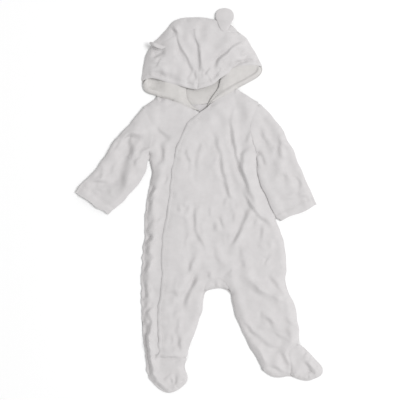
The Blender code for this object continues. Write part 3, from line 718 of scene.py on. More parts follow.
def band_relief(points, bands):
    """The rolls and stitched grooves of the bands."""
    height = np.zeros(len(points))
    for seed, band in enumerate(bands):
        path = BAND_PATHS[band.name]
        gap, place = beside_path(points, path)
        gap = np.abs(gap)
        ends = smooth_step(place / 0.04) * smooth_step((1.0 - place) / 0.04)
        puckers = gathers(place * BAND_STEP * (len(path) - 1), 13.0, 31 + seed)
        roll = band.roll * bell(gap - 0.45 * band.inset, 0.42 * band.inset)
        groove = band.groove * bell(gap - band.inset, 2.6)
        pucker = band.gather * puckers * bell(gap - band.inset, 7.0)
        height += (roll + groove + pucker) * (0.35 + 0.65 * ends)
    return height


def seam_relief(points, seams):
    """A soft valley along each seam, given as its path, its depth and its half width."""
    height = np.zeros(len(points))
    for path, dip, reach in seams:
        height -= dip * bell(gap_to(points, path), reach)
    return height


def seam_between(first, second):
    """The seam where two sheets meet, in plan."""
    rim = rim_of(first)[:-1]
    away, _ = nearest_in(tree_of(rim_of(second)), rim)
    meets = away < 4.0
    start = int(np.argmax(meets & ~np.roll(meets, 1)))
    return np.roll(rim, -start, axis=0)[np.roll(meets, -start)]


ARMHOLE_DIP = 0.7          # depth of the soft valley along an armhole
ARMHOLE_REACH = 4.0
ARMHOLE_SEAMS = [(run, ARMHOLE_DIP, ARMHOLE_REACH) for run in ARMHOLE_RUNS]
# The seams that show as a fine groove: the two sheets, and its depth and half width.
FINE_SEAMS = [(seam_between(first, second), dip, reach) for first, second, dip, reach in (
    ("hood_crown_left", "hood_crown_right", 1.0, 2.2),
    ("hood_crown_right", "hood_back_over", 0.7, 2.2),
    ("hood_crown_left", "hood_back_over", 0.4, 2.2),
    ("front_upper_right", "foot_upper_left", 0.5, 3.0),
    ("front_upper_right", "foot_upper_right", 2.2, 3.6),
    ("front_upper_right", "crotch_gusset", 0.4, 2.6),
)]
SLEEVE_LINE = smooth_path(SLEEVE_SIDES["sleeve_right"][1], 3.0)
SLEEVE_LINE_DIP = 1.4      # where the right sleeve lies against the body
SLEEVE_LINE_REACH = 2.6
ARMPITS = ((117.0, 92.0), (-101.0, 89.0))
ARMPIT_DIP = 6.0
ARMPIT_REACH = 4.0


def grooves(points):
    """The fine grooves along the seams, and where the right sleeve touches the body."""
    height = seam_relief(points, FINE_SEAMS)
    gap, place = beside_path(points, SLEEVE_LINE)
    uneven = 0.7 + 0.5 * gathers(place * 150.0, 22.0, 51)
    height -= SLEEVE_LINE_DIP * uneven * bell(gap, SLEEVE_LINE_REACH)
    for armpit in ARMPITS:
        height -= ARMPIT_DIP * bell(np.linalg.norm(points - armpit, axis=1), ARMPIT_REACH)
    return height


# ------------------------------------------------------------- the relief of the cloth
LOFT = 4.6                 # how much fuller the cloth front is than its solid
LOFT_REACH = 21.0          # how far in from the side seams it takes to rise
HOOD_FULL = 1.5            # the same for the hood
SLEEVE_LOFT = 3.6          # and for a sleeve, over SLEEVE_REACH
FOLDS_FROM = 14.0          # the folds are whole from this far in
EDGE_STILL = 1.6           # a strip this wide along the outline isn't raised
FALL = 0.7                 # how much of the fallen cloth's folds is kept
RIPPLE = 0.9               # height of the puckers along the side seams
RIPPLE_REACH = 12.0
SIDE_SINK = 3.4            # how far the crumpled left side falls away
ANKLE_RIDGE = 3.0          # and how far it stands up beside that at the ankle
NECK_RUN = smooth_path(((-84, 205), (-62, 200), (-46, 194), (-30, 189), (-10, 178), (2, 174),
                        (28, 196), (52, 208), (75, 222)), 3.0)
NECK_SHARE = 0.35          # how much of the loft is left at the neck
NECK_REACH = 34.0


def soft_unevenness(points):
    """The slight unevenness of soft cloth that nobody has smoothed out."""
    moved = points + 9.0 * wave_shift(points, 80.0, 11)
    return waves(moved, 75.0, 21) + 0.35 * waves(moved, 34.0, 22, heading=80.0, spread=0.5)


def folds(points, region):
    """The folds of a region: its creases, those of the fallen cloth and its unevenness."""
    creased = crease_relief(points, ALL_CREASES)
    if region not in FIELDS:
        return creased + soft_unevenness(points)
    return FALL * FIELDS[region].at(points) + creased + 0.4 * soft_unevenness(points)


def from_outline(points):
    """How far in from the suit's outline each point is, and the nearest point of it."""
    away, index = nearest_in(OUTER_TREE, points)
    return np.maximum(away - EDGE_STILL, 0.0), index


def side_ripple(away, index, length, seed):
    """The puckers along the outline, where front and back are sewn together."""
    return (RIPPLE * gathers(index * 2.0, length, seed) * smooth_step(away / 3.0)
            * bell(away, RIPPLE_REACH))


def left_side(points, away):
    """The crumpled left side: its creases, how far it falls away, and its ridge."""
    left = smooth_step((-62.0 - points[:, 0]) / 16.0) * smooth_step((36.0 - points[:, 1]) / 30.0)
    ankle = smooth_step((-235.0 - points[:, 1]) / 60.0)
    sunk = SIDE_SINK * (1.0 + 0.3 * waves(points, 24.0, 64)) * bell(away, 7.0)
    sunk = (sunk - ANKLE_RIDGE * ankle * bell(away - 12.0, 5.5)) * left
    return crease_relief(points, ALL_SIDE_CREASES) * smooth_step(away / 2.0) - sunk


def front_relief(points):
    """How far the front of the body and the feet stands above its solid."""
    away, index = from_outline(points)
    full = LOFT * (1.0 + 0.18 * waves(points, 90.0, 5)) * round_rise(away / LOFT_REACH)
    neck = smooth_step(gap_to(points, NECK_RUN) / NECK_REACH)
    full *= NECK_SHARE + (1.0 - NECK_SHARE) * neck
    return (full + folds(points, "body") * smooth_step(away / FOLDS_FROM)
            + side_ripple(away, index, 15.0, 3) + seam_relief(points, ARMHOLE_SEAMS)
            + left_side(points, away))


BRIM_PRESS = 4.3           # how far the brim lies down on the lips
BRIM_REACH = 15.0
# Where it stands open: along x, over how far, and by how much of the press.
BRIM_OPEN = ((-90.0, 22.0, 0.9), (-36.0, 10.0, 0.6), (106.0, 22.0, 0.8), (6.0, 26.0, 0.6))


def hood_relief(points):
    """How far the crown of the hood stands above its solid."""
    away, index = from_outline(points)
    gap = np.min([gap_to(points, BAND_PATHS[name]) for name in ("brim_left", "brim_right")], axis=0)
    press = 1.0 - sum(opened * bell(points[:, 0] - open_x, reach)
                      for open_x, reach, opened in BRIM_OPEN)
    full = HOOD_FULL * round_rise(away / LOFT_REACH) - BRIM_PRESS * press * bell(gap, BRIM_REACH)
    return (full + folds(points, "hood") * smooth_step(away / FOLDS_FROM)
            + side_ripple(away, index, 16.0, 4))


# The lines of each lip: its lower edge, its edge under the brim, its edge at the neck
# opening. And how deep the hollow behind its roll is.
Lip = namedtuple("Lip", "low brim inner depth")


def lip_of(low, brim, inner, depth):
    """A lip from the points of its lines."""
    return Lip(*(smooth_path(line, 2.0) for line in (low, brim, inner)), depth)


LIPS = {
    "hood_lip_left": lip_of(
        ((-114, 232), (-112, 219), (-100, 210), (-84, 206), (-62, 201.5), (-46, 195.5),
         (-30, 190.5), (-10, 179.5), (0, 178)),
        LIP_EDGES["hood_lip_left"][3:], LIP_EDGES["hood_lip_left"][3::-1], 8.0),
    "hood_lip_right": lip_of(
        ((4, 180), (28, 198), (52, 210), (75, 223), (96, 234), (115, 244), (122, 252),
         (124, 261)),
        LIP_EDGES["hood_lip_right"][:6], LIP_EDGES["hood_lip_right"][5:], 4.5),
}
LIP_TUCK = 8.0             # how far a lip reaches in under the brim
LIP_OVER = 1.1             # how far its roll bulges over the neck seam
LIP_ROLL = 3.2             # the roll along the lower edge of a lip
LIP_LOWER = 4.0            # how much lower its edge towards the neck opening lies
LIP_OPEN = -64.0           # the left lip lies open under the brim from here to its end


def lip_relief(points, node):
    """How far a turned-out lip of the hood stands above its solid: a soft roll, then a hollow."""
    lip = LIPS[node]
    low, place = beside_path(points, lip.low)
    low = np.abs(low)
    inner = gap_to(points, lip.inner)
    outer = outline_gap(points)
    if node == "hood_lip_left":
        hollow = smooth_step((low - 7.0) / 11.0) * smooth_step((LIP_OPEN - points[:, 0]) / 30.0)
    else:
        brim = gap_to(points, lip.brim)
        share = brim / np.maximum(brim + low, 0.1)
        hollow = smooth_step((low - 6.0) / 6.0) * smooth_step(share / 0.6)
    hollow *= smooth_step((outer - 5.0) / 6.0) * smooth_step(inner / 30.0)
    roll = LIP_ROLL * round_rise((low - 1.2) / 6.0)
    pucker = 0.3 * gathers(place * 140.0, 22.0, 6) * smooth_step(low / 6.0)
    return roll - lip.depth * hollow - LIP_LOWER * bell(inner, 9.0) + pucker


def lip_spread(corners, node):
    """The lip's corners moved out, in under the brim and over the neck seam."""
    points = corners[:, :2]
    room = np.clip((outline_gap(points) - 3.0) / 12.0, 0.0, 1.0)
    up = LIP_TUCK * np.clip(1.0 - gap_to(points, LIPS[node].brim) / 16.0, 0.0, 1.0) * room
    out = LIP_OVER * np.clip(1.0 - gap_to(points, LIPS[node].low) / 8.0, 0.0, 1.0) * room
    moved = corners.copy()
    moved[:, 1] += up - out
    return moved


CUFF_PRESS = 3.0           # how much lower the open end of a sleeve lies
CUFF_REACH = 26.0


def sleeve_relief(points, node):
    """How far the upper side of a sleeve stands above its solid."""
    away, index = nearest_in(SIDES_TREE[node], points)
    full = SLEEVE_LOFT * (1.0 + 0.15 * waves(points, 80.0, 6)) * round_rise(away / SLEEVE_REACH)
    ripple = 0.7 * gathers(index * 2.0, 15.0, 8) * bell(away, RIPPLE_REACH)
    cuff = bell(gap_to(points, CUFF_PATHS[node]), CUFF_REACH)
    return (full + folds(points, node) * smooth_step(away / 13.0) + ripple
            + seam_relief(points, ARMHOLE_SEAMS) - CUFF_PRESS * cuff * smooth_step(away / 6.0))


# ---------------------------------------------------------------------- the meshes
SEWN_FROM = 5.0            # how far in from the suit's outline a seam's edges are held
FREE_REACH = 5.0           # and how far from its free edges
CORNER_FROM = 12.0         # how far in from the outline a corner is kept
CORNER_TURN = math.radians(35)
SHARP = math.radians(48)   # edges with more of a corner than this look sharp


def is_sewn(spot):
    """Whether a point of a sheet's edge is sewn to the next piece in the same layer."""
    place = (spot.x, spot.y, 0.0)
    return OUTER_TREE.find(place)[2] >= SEWN_FROM and FREE_TREE.find(place)[2] > FREE_REACH


def hold_sleeve_ends(work, node, held):
    """Keeps the edges of a sleeve's two ends crisp, the armhole's more than the cuff's."""
    armhole = ARMHOLE_RUNS[list(SLEEVE_SIDES).index(node)]
    centres = np.array([tuple(face.calc_center_median())[:2] for face in work.faces])
    for path, hold in ((armhole, 1.0), (CUFF_PATHS[node], 0.6)):
        ends = gap_to(centres, path) < 3.0
        for edge in work.edges:
            if len({bool(ends[face.index]) for face in edge.link_faces}) == 2:
                edge[held] = hold


def turning_corners(edges):
    """The corners at which a run of edges turns sharply in plan, well within the outline."""
    found = []
    for vertex, others in next_to(edges).items():
        if len(others) == 2 and OUTER_TREE.find((vertex.co.x, vertex.co.y, 0.0))[2] > CORNER_FROM:
            onward, back = ((other.co - vertex.co).to_2d() for other in others)
            if onward.length * back.length > 0.0 and math.pi - onward.angle(back) > CORNER_TURN:
                found.append(vertex)
    return found


def hold_edges(work, node, low_edge, hold):
    """Marks the edges and corners of a sheet that keep their place when it is smoothed."""
    held = work.edges.layers.float.new("crease_edge")
    if node in SLEEVE_SIDES:
        hold_sleeve_ends(work, node, held)
    corner_hold = work.verts.layers.float.new("crease_vert")
    if node in SLEEVE_SIDES:
        return
    rims = {"low": [], "high": []}
    for edge in work.edges:
        kind = rim_kind(edge)
        if kind is None:
            continue
        rims[kind].append(edge)
        kept = kind == "low" if low_edge else kind == "high"
        if kept or low_edge and is_sewn((edge.verts[0].co + edge.verts[1].co) / 2):
            edge[held] = hold
    for vertex in turning_corners(rims["high"]) + turning_corners(rims["low"]):
        vertex[corner_hold] = float(hold == 1.0)


def smooth_copy(node, levels, low_edge=True, hold=1.0):
    """A finer, smoother copy of a node: its corners in millimetres, faces and upper side.

    The edge where it meets the piece below or above it keeps its place, and so does
    an edge that is sewn to the next piece. The others round over.
    """
    work = welded(node)
    bmesh.ops.join_triangles(work, faces=work.faces[:], angle_face_threshold=math.radians(50),
                             angle_shape_threshold=math.radians(60))
    work.normal_update()
    work.faces.index_update()
    upper = work.verts.layers.float.new("upper")
    for face in work.faces:
        if face.normal.z > LEVEL:
            for vertex in face.verts:
                vertex[upper] = 1.0
    hold_edges(work, node, low_edge, hold)
    mesh = bpy.data.meshes.new(node + "_smooth")
    work.to_mesh(mesh)
    work.free()
    thing = bpy.data.objects.new(node + "_smooth", mesh)
    bpy.context.scene.collection.objects.link(thing)
    finer = thing.modifiers.new("finer", "SUBSURF")
    finer.levels = finer.render_levels = levels
    finer.use_limit_surface = False
    shown = thing.evaluated_get(bpy.context.evaluated_depsgraph_get())
    result = bpy.data.meshes.new_from_object(shown)
    side = np.zeros(len(result.vertices))
    result.attributes["upper"].data.foreach_get("value", side)
    faces = [tuple(face.vertices) for face in result.polygons]
    bpy.data.objects.remove(thing)
    return corners_of(result), faces, side


def keep_sharp_at_rim(mesh, side):
    """Smooth shading everywhere but along the rim, where the upper side meets the wall."""
    work = bmesh.new()
    work.from_mesh(mesh)
    work.verts.ensure_lookup_table()
    for edge in work.edges:
        around = (vertex for face in edge.link_faces for vertex in face.verts)
        at_rim = any(0.1 < side[vertex.index] < 0.9 for vertex in around)
        edge.smooth = edge.smooth or not at_rim
    work.to_mesh(mesh)
    work.free()


def make_object(name, corners, faces, material, side=None):
    """A shown piece from corners in millimetres, riding on the root body."""
    piece = add_object(name, [Vector(corner) * MM for corner in corners], faces)
    piece.data.shade_smooth()
    piece.data.set_sharp_from_angle(angle=SHARP)
    if side is not None:
        keep_sharp_at_rim(piece.data, side)
    piece.data.materials.append(material)
    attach(piece, "root")
    return piece


JOIN_WHOLE = 5.0           # gaps up to this are closed
JOIN_NONE = 7.5            # wider ones than this are left
JOIN_REACH = 11.0          # how far in from its edge a sheet is drawn along
JOIN_OVER = 0.58           # how far each of the two goes, a little past halfway
JOIN_NEAR, JOIN_FADE = 3.0, 2.5    # sheets this near count in full, those beyond it less
MEET_LIFT = 5.0            # how much the body's low edge is raised where it meets a sleeve
MEET_BELOW = 8.0           # an edge is low below this height
WALL_LOW, WALL_HIGH = 0.70, 0.80   # the part of a sheet's wall that is near its top
# How much lower a piece lies where it meets its neighbours, so that they lap over it.
TUCKS = {"foot_upper_left": 1.5, "crotch_gusset": 0.7}


def off_floor(corners):
    """0 at the underside of the sheets that lie lowest, and 1 from a little above it."""
    return smooth_step((corners[:, 2] - 2.2) / 3.2)


def wall_corners(corners, side):
    """The corners near the top of a sheet's edge."""
    return corners[(side > WALL_LOW) & (side < WALL_HIGH) & (corners[:, 2] > 3.0)]


def to_neighbours(node, walls, trees):
    """How each corner of a sheet's wall moves to meet the sheets next to it."""
    wall = walls[node]
    gap = np.full(len(wall), np.inf)
    nearest = np.zeros_like(wall)
    weights = np.ones((len(wall), 1))
    total = np.zeros_like(wall)
    for other, theirs in walls.items():
        if other != node:
            away, index = nearest_in(trees[other], wall[:, :2])
            across = theirs[index] - wall
            weight = 1.0 - smooth_step((away - JOIN_NEAR) / JOIN_FADE)[:, None]
            weights += weight
            total += weight * across
            closer = away < gap
            gap[closer] = away[closer]
            nearest[closer] = across[closer]
    free, _ = nearest_in(FREE_TREE, wall[:, :2])
    share = 1.0 - smooth_step((gap - JOIN_WHOLE) / (JOIN_NONE - JOIN_WHOLE))
    share *= smooth_step((free - 2.0) / 4.0)
    if node.startswith(("hood", "foot")):
        towards = 2.0 * JOIN_OVER * (total / weights) * share[:, None]
    else:
        towards = nearest * (share * JOIN_OVER)[:, None]
    if node.startswith("front"):
        towards[:, 2] += MEET_LIFT * share * np.clip((MEET_BELOW - wall[:, 2]) / 3.0, 0.0, 1.0)
    towards[:, 2] *= smooth_step(outline_gap(wall[:, :2]) / 9.0)
    towards[:, 2] -= TUCKS.get(node, 0.0) * share
    return towards


def drawn_together(shapes):
    """The shapes with the edges of neighbours moved to meet halfway, in plan and height."""
    walls = {node: wall_corners(corners, side) for node, (corners, _, side) in shapes.items()}
    trees = {node: tree_of(wall[:, :2]) for node, wall in walls.items()}
    joined = {}
    for node, (corners, faces, side) in shapes.items():
        towards = to_neighbours(node, walls, trees)
        away, index = nearest_in(trees[node], corners[:, :2])
        near = np.clip(1.0 - away / JOIN_REACH, 0.0, 1.0)
        moved = corners.copy()
        moved[:, :2] += towards[index, :2] * near[:, None]
        moved[:, 2] += towards[index, 2] * smooth_step(near) * off_floor(corners)
        joined[node] = (moved, faces, side)
    return joined


WANDER = 1.1               # how far the outlines wander from the drawn curves
WANDER_LENGTH = 36.0
RAGGED = 1.0               # and how far more along the crumpled left side
THINNEST = 1.4             # the least thickness that a pressed wall keeps


def wandered(corners):
    """The corners of any piece moved in plan by the same small uneven field."""
    points = corners[:, :2]
    moved = corners.copy()
    moved[:, :2] += WANDER * wave_shift(points, WANDER_LENGTH, 61)
    left = smooth_step((-70.0 - points[:, 0]) / 20.0) * smooth_step((40.0 - points[:, 1]) / 40.0)
    moved[:, 0] += RAGGED * waves(points, 17.0, 63, heading=0.0) * left
    return moved


def pressed(corners, side, relief, lowest):
    """The corners moved up or down by the relief, never into what lies below."""
    moved = corners.copy()
    moved[:, 2] += relief
    floor = lowest + side * THINNEST
    moved[:, 2] = np.maximum(moved[:, 2], np.minimum(floor, corners[:, 2]))
    return moved


# -------------------------------------------------------------------- the materials
def new_material(name, roughness, specular, sheen=0.0, sheen_roughness=0.5):
    """A material, its nodes, its shader and a texture coordinate that stays on the cloth."""
    material = bpy.data.materials.new(name)
    material.use_nodes = True
    tree = material.node_tree
    shader = tree.nodes["Principled BSDF"]
    shader.inputs["Roughness"].default_value = roughness
    shader.inputs["Specular IOR Level"].default_value = specular
    shader.inputs["Sheen Weight"].default_value = sheen
    shader.inputs["Sheen Roughness"].default_value = sheen_roughness
    return material, tree, shader, tree.nodes.new("ShaderNodeTexCoord").outputs["Object"]


def add_node(tree, kind, links, **values):
    """A node with some of its inputs linked and others set."""
    node = tree.nodes.new(kind)
    for name, value in values.items():
        node.inputs[name].default_value = value
    for name, source in links.items():
        tree.links.new(source, node.inputs[name])
    return node


def noise(tree, place, scale, detail=2.0, rough=0.5):
    """A noise texture on the cloth, with its waves per metre."""
    node = add_node(tree, "ShaderNodeTexNoise", {"Vector": place},
                    Scale=scale, Detail=detail, Roughness=rough)
    return node.outputs["Fac"]


def bump(tree, height, distance, strength, below=None):
    """A bump of that height in metres, on top of another."""
    links = {"Height": height} if below is None else {"Height": height, "Normal": below}
    node = add_node(tree, "ShaderNodeBump", links, Distance=distance, Strength=strength)
    return node.outputs["Normal"]


def ramp(tree, value, dark, light):
    """A colour between dark and light, as the value goes from low to high."""
    node = add_node(tree, "ShaderNodeValToRGB", {"Fac": value})
    for element, position, colour in zip(node.color_ramp.elements, (0.3, 0.7), (dark, light)):
        element.position = position
        element.color = (*colour, 1.0)
    return node.outputs["Color"]


def velour_cloth(name, dark, light):
    """Short-pile velour: matt, soft at grazing angles, with a brushed nap."""
    material, tree, shader, place = new_material(name, 0.92, 0.2, 0.22, 0.55)
    patches = noise(tree, place, 55.0, 4.0, 0.6)
    tree.links.new(ramp(tree, patches, dark, light), shader.inputs["Base Color"])
    brushed = bump(tree, noise(tree, place, 150.0, 3.0, 0.55), 0.0008, 0.3)
    nap = bump(tree, noise(tree, place, 1150.0, 2.0, 0.6), 0.0004, 0.6, brushed)
    tree.links.new(nap, shader.inputs["Normal"])
    return material


def jersey_cloth(name, dark, light):
    """Fine cotton jersey, with its narrow ribs."""
    material, tree, shader, place = new_material(name, 0.85, 0.25, 0.1, 0.5)
    patches = noise(tree, place, 80.0, 3.0, 0.5)
    tree.links.new(ramp(tree, patches, dark, light), shader.inputs["Base Color"])
    ribs = add_node(tree, "ShaderNodeTexWave", {"Vector": place},
                    Scale=400.0, Distortion=1.2, Detail=1.0)
    uneven = bump(tree, noise(tree, place, 220.0, 2.0), 0.0006, 0.4)
    tree.links.new(bump(tree, ribs.outputs["Fac"], 0.0003, 0.5, uneven), shader.inputs["Normal"])
    return material


def plain_material(name, colour, roughness):
    """One even colour, for the thread and the floor."""
    material, _, shader, _ = new_material(name, roughness, 0.2)
    shader.inputs["Base Color"].default_value = (*colour, 1.0)
    return material


VELOUR = velour_cloth("velour_white", (0.568, 0.552, 0.554), (0.616, 0.599, 0.601))
LINING = jersey_cloth("jersey_lining", (0.590, 0.573, 0.560), (0.636, 0.618, 0.605))
THREAD = plain_material("thread", (0.66, 0.645, 0.64), 0.7)
FLOOR = plain_material("floor", (0.93, 0.93, 0.93), 0.9)
MATERIALS = {"velour": VELOUR, "lining": LINING}


# ----------------------------------------------------------------------- the pieces
# What shows of each sheet as it was cut: its width and length, and its area (m, m2).
Sheet = namedtuple("Sheet", "node slot kind levels width length area rests_on")
SHEETS = (
    Sheet("back_body", "velour", "back", 2, 0.316, 0.562, 0.1222, ("floor",)),
    Sheet("foot_sole_left", "velour", "back", 2, 0.086, 0.079, 0.0054, ("floor",)),
    Sheet("foot_sole_right", "velour", "back", 2, 0.122, 0.076, 0.0058, ("floor",)),
    Sheet("hood_back", "lining", "back", 2, 0.242, 0.176, 0.0316, ("floor",)),
    Sheet("front_lower_left", "velour", "front", 2, 0.145, 0.514, 0.0362, ("back_body",)),
    Sheet("front_upper_right", "velour", "front", 2, 0.284, 0.577, 0.1015,
          ("back_body", "front_lower_left")),
    Sheet("crotch_gusset", "velour", "front", 3, 0.055, 0.032, 0.0011, ("back_body",)),
    Sheet("foot_upper_left", "velour", "front", 3, 0.088, 0.080, 0.0057, ("foot_sole_left",)),
    Sheet("foot_upper_right", "velour", "front", 3, 0.074, 0.078, 0.0039, ("foot_sole_right",)),
    Sheet("sleeve_left", "velour", "sleeve", 2, 0.200, 0.205, 0.0307, ("floor",)),
    Sheet("sleeve_right", "velour", "sleeve", 2, 0.200, 0.220, 0.0325, ("floor",)),
    Sheet("hood_lip_left", "lining", "lip", 3, 0.116, 0.062, 0.0029, ("hood_back",)),
    Sheet("hood_lip_right", "lining", "lip", 3, 0.121, 0.086, 0.0033, ("hood_back",)),
    Sheet("hood_crown_left", "velour", "hood", 3, 0.120, 0.124, 0.0106, ("hood_back",)),
    Sheet("hood_crown_right", "velour", "hood", 3, 0.142, 0.122, 0.0106, ("hood_back",)),
    Sheet("hood_back_over", "velour", "hood", 3, 0.180, 0.060, 0.0050, ("hood_back",)),
)
UNDER_CREASE = 0.8         # how deep the creases of the underside are
WRAP_PRESS = 1.5           # how much the free edge of the front is pressed down
WRAP_REACH = 6.0


def underside_creases(points):
    """How far the underside stands clear of the floor: soft creases like those of the front."""
    fold = np.clip(0.5 * np.abs(crease_relief(points, CREASES)), 0.0, 1.0)
    fold = np.maximum(fold, 0.6 * smooth_step(waves(points, 60.0, 81, heading=80.0) - 0.4))
    return UNDER_CREASE * fold * smooth_step((outline_gap(points) - 6.0) / 10.0)


def wrap_press(points, side):
    """How far down the free edge of the front lies on the front below it."""
    wrap, place = beside_path(points, BAND_PATHS["wrap"])
    press = WRAP_PRESS * (1.0 + 0.4 * gathers(place * 500.0, 60.0, 12))
    return press * (0.45 + 0.55 * side) * bell(wrap, WRAP_REACH)


def shaped(row):
    """The corners, faces and upper side of one sheet, with its loft, creases and hems."""
    corners, faces, side = smooth_copy(row.node, row.levels, row.kind != "back")
    plan = corners[:, :2]
    if row.kind == "back":
        corners[:, 2] += underside_creases(plan) * (1.0 - side)
        return corners, faces, side
    if row.kind == "lip":
        corners = pressed(corners, side, lip_relief(plan, row.node), BACK_TOP + FLOOR_GAP)
        return lip_spread(corners, row.node), faces, side

    hems = band_relief(plan, [band for band in BANDS + CUFF_BANDS if band.node == row.node])
    if row.kind == "sleeve":
        relief = sleeve_relief(plan, row.node) + hems + grooves(plan)
        moved = corners[:, 2] + relief * off_floor(corners)
        corners[:, 2] = np.maximum(moved, np.minimum(corners[:, 2], BACK_TOP + FLOOR_GAP + side))
        return corners, faces, side
    whole = hood_relief(plan) if row.kind == "hood" else front_relief(plan)
    relief = whole + hems + grooves(plan)
    if row.node == "front_upper_right":
        relief -= wrap_press(plan, side)
    return pressed(corners, side, relief, BACK_TOP + FLOOR_GAP), faces, side


EAR_FOOT = 16.0            # height at which the left ear leaves the hood
EAR_LOW = 0.42             # how much of the left ear's height it keeps, folded down
EAR_LINE = 308.0           # where its upper rim runs
EAR_THIN = 0.4             # and how much of its curl it keeps across that line
EAR_SLOPE = -0.2           # how much that line slopes
EAR_TIP = -90.0            # where its end begins to sink beside the hood
TIP_HEIGHT = 9.0           # and how high that end stays at least
DROOP = 5.0                # how far the right ear sinks beyond the hood


def folded_ear(corners):
    """The left ear's corners, seen nearly edge on with a hollow below its rim."""
    moved = corners.copy()
    raised = smooth_step((corners[:, 2] - EAR_FOOT) / 14.0)
    share = 1.0 - (1.0 - EAR_THIN) * raised
    moved[:, 1] = EAR_LINE + (corners[:, 1] - EAR_LINE) * share
    moved[:, 1] += EAR_SLOPE * (corners[:, 0] - corners[:, 0].mean()) * raised
    moved[:, 2] = EAR_FOOT + (corners[:, 2] - EAR_FOOT) * EAR_LOW
    tip = smooth_step((EAR_TIP - corners[:, 0]) / 14.0)
    moved[:, 2] -= 0.6 * tip * np.maximum(moved[:, 2] - TIP_HEIGHT, 0.0)
    return moved


def drooping_ear(corners):
    """The right ear's corners, sinking to the surface beyond the hood's edge."""
    moved = corners.copy()
    beyond = smooth_step((corners[:, 1] - 344.0) / 16.0)
    tip = smooth_step((corners[:, 1] - 360.0) / 24.0)
    moved[:, 2] -= DROOP * beyond * (1.0 - 0.45 * tip)
    return moved


SHAPES = {row.node: shaped(row) for row in SHEETS}
FRONTS = [row.node for row in SHEETS if row.kind != "back"]
SHAPES.update(drawn_together({node: SHAPES[node] for node in FRONTS}))
CLOTHS = {}
for row in SHEETS:
    corners, faces, side = SHAPES[row.node]
    piece = make_object(row.node + "_cloth", wandered(corners), faces, MATERIALS[row.slot], side)
    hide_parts(row.node)
    CLOTHS[row.node] = piece

for node, change in (("ear_left", folded_ear), ("ear_right", drooping_ear)):
    corners, faces, _ = smooth_copy(node, 3, True, 0.5)
    piece = make_object(node + "_pad", wandered(change(corners)), faces, VELOUR)
    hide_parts(node)
    CLOTHS[node] = piece


# ---------------------------------------------------------------------- topstitching
# A run of stitches: the piece it is sewn through, the edge it follows, how far in from it
# it runs, and the share of the edge it takes from one end to the other.
Run = namedtuple("Run", "name node edge inset start end")
RUNS = (
    Run("wrap_stitches", "front_upper_right", "wrap", 8.0, 0.01, 0.99),
    Run("brim_stitches_left", "hood_crown_left", "brim_left", 10.0, 0.02, 1.0),
    Run("brim_stitches_right", "hood_crown_right", "brim_right", 10.0, 0.02, 1.0),
    Run("cuff_stitches_left", "sleeve_left", "cuff_left", 17.0, 0.04, 0.96),
    Run("cuff_stitches_right", "sleeve_right", "cuff_right", 17.0, 0.04, 0.96),
)
STITCH = 2.6               # length of a stitch
STITCH_GAP = 1.0
THREAD_RADIUS = 0.32
THREAD_SINK = 0.12         # how deep it lies in the nap
ABOVE_ALL = 60.0           # a height above every piece, to look down from
SIDES = 6
# The rings of a stitch: how far along it, and its width and lift in thread radii.
RINGS = ((0.0, 0.45, -0.3), (0.12, 0.95, 0.0), (0.5, 1.0, 0.12), (0.88, 0.95, 0.0),
         (1.0, 0.45, -0.3))


def surface_of(piece):
    """A tree of the piece's surface, in millimetres."""
    corners = [vertex.co / MM for vertex in piece.data.vertices]
    return BVHTree.FromPolygons(corners, [tuple(face.vertices) for face in piece.data.polygons])


def inset_line(run):
    """The line of a run in plan, on the side of its edge where the piece is."""
    path = even_steps(BAND_PATHS[run.edge], 1.0)
    along = np.gradient(path, axis=0)
    along /= np.linalg.norm(along, axis=1)[:, None]
    across = np.column_stack((-along[:, 1], along[:, 0]))
    rim = rim_of(run.node)
    lines = [path + turn * run.inset * across for turn in (1.0, -1.0)]
    within = [inside(line, rim).sum() for line in lines]
    line = lines[int(np.argmax(within))]
    first, last = (int(share * (len(line) - 1)) for share in (run.start, run.end))
    return even_steps(line[first:last + 1], STITCH + STITCH_GAP)


def stitch(start, end, corners, faces):
    """Adds one stitch, a short thread with round ends that dips at both."""
    along = end - start
    length = along.length
    along.normalize()
    across = along.cross(Vector((0.0, 0.0, 1.0))).normalized()
    up = across.cross(along)
    first = len(corners)
    for share, width, lift in RINGS:
        centre = start + along * (share * length) + up * (lift * THREAD_RADIUS)
        for number in range(SIDES):
            turn = 2.0 * math.pi * number / SIDES
            outward = math.cos(turn) * across + math.sin(turn) * up
            corners.append(centre + THREAD_RADIUS * width * outward)
    for ring in range(len(RINGS) - 1):
        for number in range(SIDES):
            a = first + ring * SIDES + number
            b = first + ring * SIDES + (number + 1) % SIDES
            faces.append((a, b, b + SIDES, a + SIDES))
    last = first + (len(RINGS) - 1) * SIDES
    faces.append(tuple(first + number for number in reversed(range(SIDES))))
    faces.append(tuple(last + number for number in range(SIDES)))


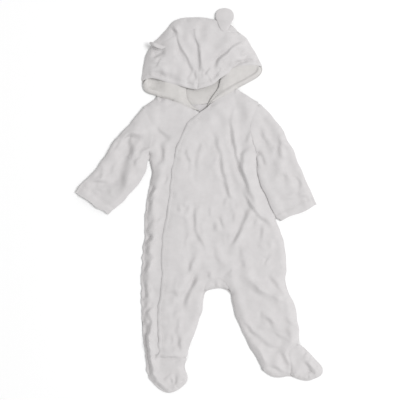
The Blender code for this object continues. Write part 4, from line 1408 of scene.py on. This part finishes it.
def add_stitches(run):
    """One joined mesh of the stitches of a run, each laid on the cloth under it."""
    surface = surface_of(CLOTHS[run.node])
    line = inset_line(run)
    line = wandered(np.column_stack((line, np.zeros(len(line)))))[:, :2]
    spots = []
    for x, y in line:
        spot = surface.ray_cast(Vector((x, y, ABOVE_ALL)), Vector((0.0, 0.0, -1.0)))[0]
        spots.append(spot and spot + Vector((0.0, 0.0, THREAD_RADIUS - THREAD_SINK)))
    corners, faces = [], []
    for start, end in zip(spots, spots[1:]):
        if start and end and abs(start.z - end.z) < STITCH:
            stitch(start, start.lerp(end, STITCH / (STITCH + STITCH_GAP)), corners, faces)
    piece = make_object(run.name, corners, faces, THREAD)
    return piece


STITCHES = {}
for run in RUNS:
    STITCHES.setdefault(run.node, []).append(add_stitches(run))

# ------------------------------------------------------------------ what each sheet rests on, looked up and not used
for row in SHEETS:
    [CLOTHS[name] if name in CLOTHS else name for name in row.rests_on]

# ------------------------------------------------------------ floor, light and camera
FLOOR_SIZE = 6.0
CAMERA_HEIGHT = 1.889
CAMERA_LENS = 85.0
CAMERA_SENSOR = 36.0
LIGHT_PLACE = (2.5, 0.15, 4.25)
LIGHT_SIZE = 1.8
LIGHT_POWER = 148.0
SURROUND = 0.62            # strength of the even light from all around


def add_floor():
    """The plain surface that the suit lies on."""
    piece = add_object("floor", *square(FLOOR_SIZE / 2, 0.0))
    piece.data.materials.append(FLOOR)


def add_area_light(name, place, size, power):
    """A square soft light that faces the middle of the suit."""
    data = bpy.data.lights.new(name, "AREA")
    data.shape = "SQUARE"
    data.size = size
    data.energy = power
    light = bpy.data.objects.new(name, data)
    light.location = place
    light.rotation_euler = (-Vector(place)).to_track_quat("-Z", "Y").to_euler()
    bpy.context.scene.collection.objects.link(light)


def add_world(strength):
    """An even white surround."""
    world = bpy.data.worlds.new("surround")
    world.use_nodes = True
    background = world.node_tree.nodes["Background"]
    background.inputs["Color"].default_value = (1.0, 1.0, 1.0, 1.0)
    background.inputs["Strength"].default_value = strength
    bpy.context.scene.world = world


def add_camera():
    """A camera straight above the suit, with its head end at the top of the picture."""
    data = bpy.data.cameras.new("camera")
    data.lens = CAMERA_LENS
    data.sensor_width = CAMERA_SENSOR
    camera = bpy.data.objects.new("camera", data)
    camera.location = (0.0, 0.0, CAMERA_HEIGHT)
    bpy.context.scene.collection.objects.link(camera)
    bpy.context.scene.camera = camera


add_floor()
add_area_light("key", LIGHT_PLACE, LIGHT_SIZE, LIGHT_POWER)
add_world(SURROUND)
add_camera()
bpy.context.scene.view_settings.view_transform = "Standard"
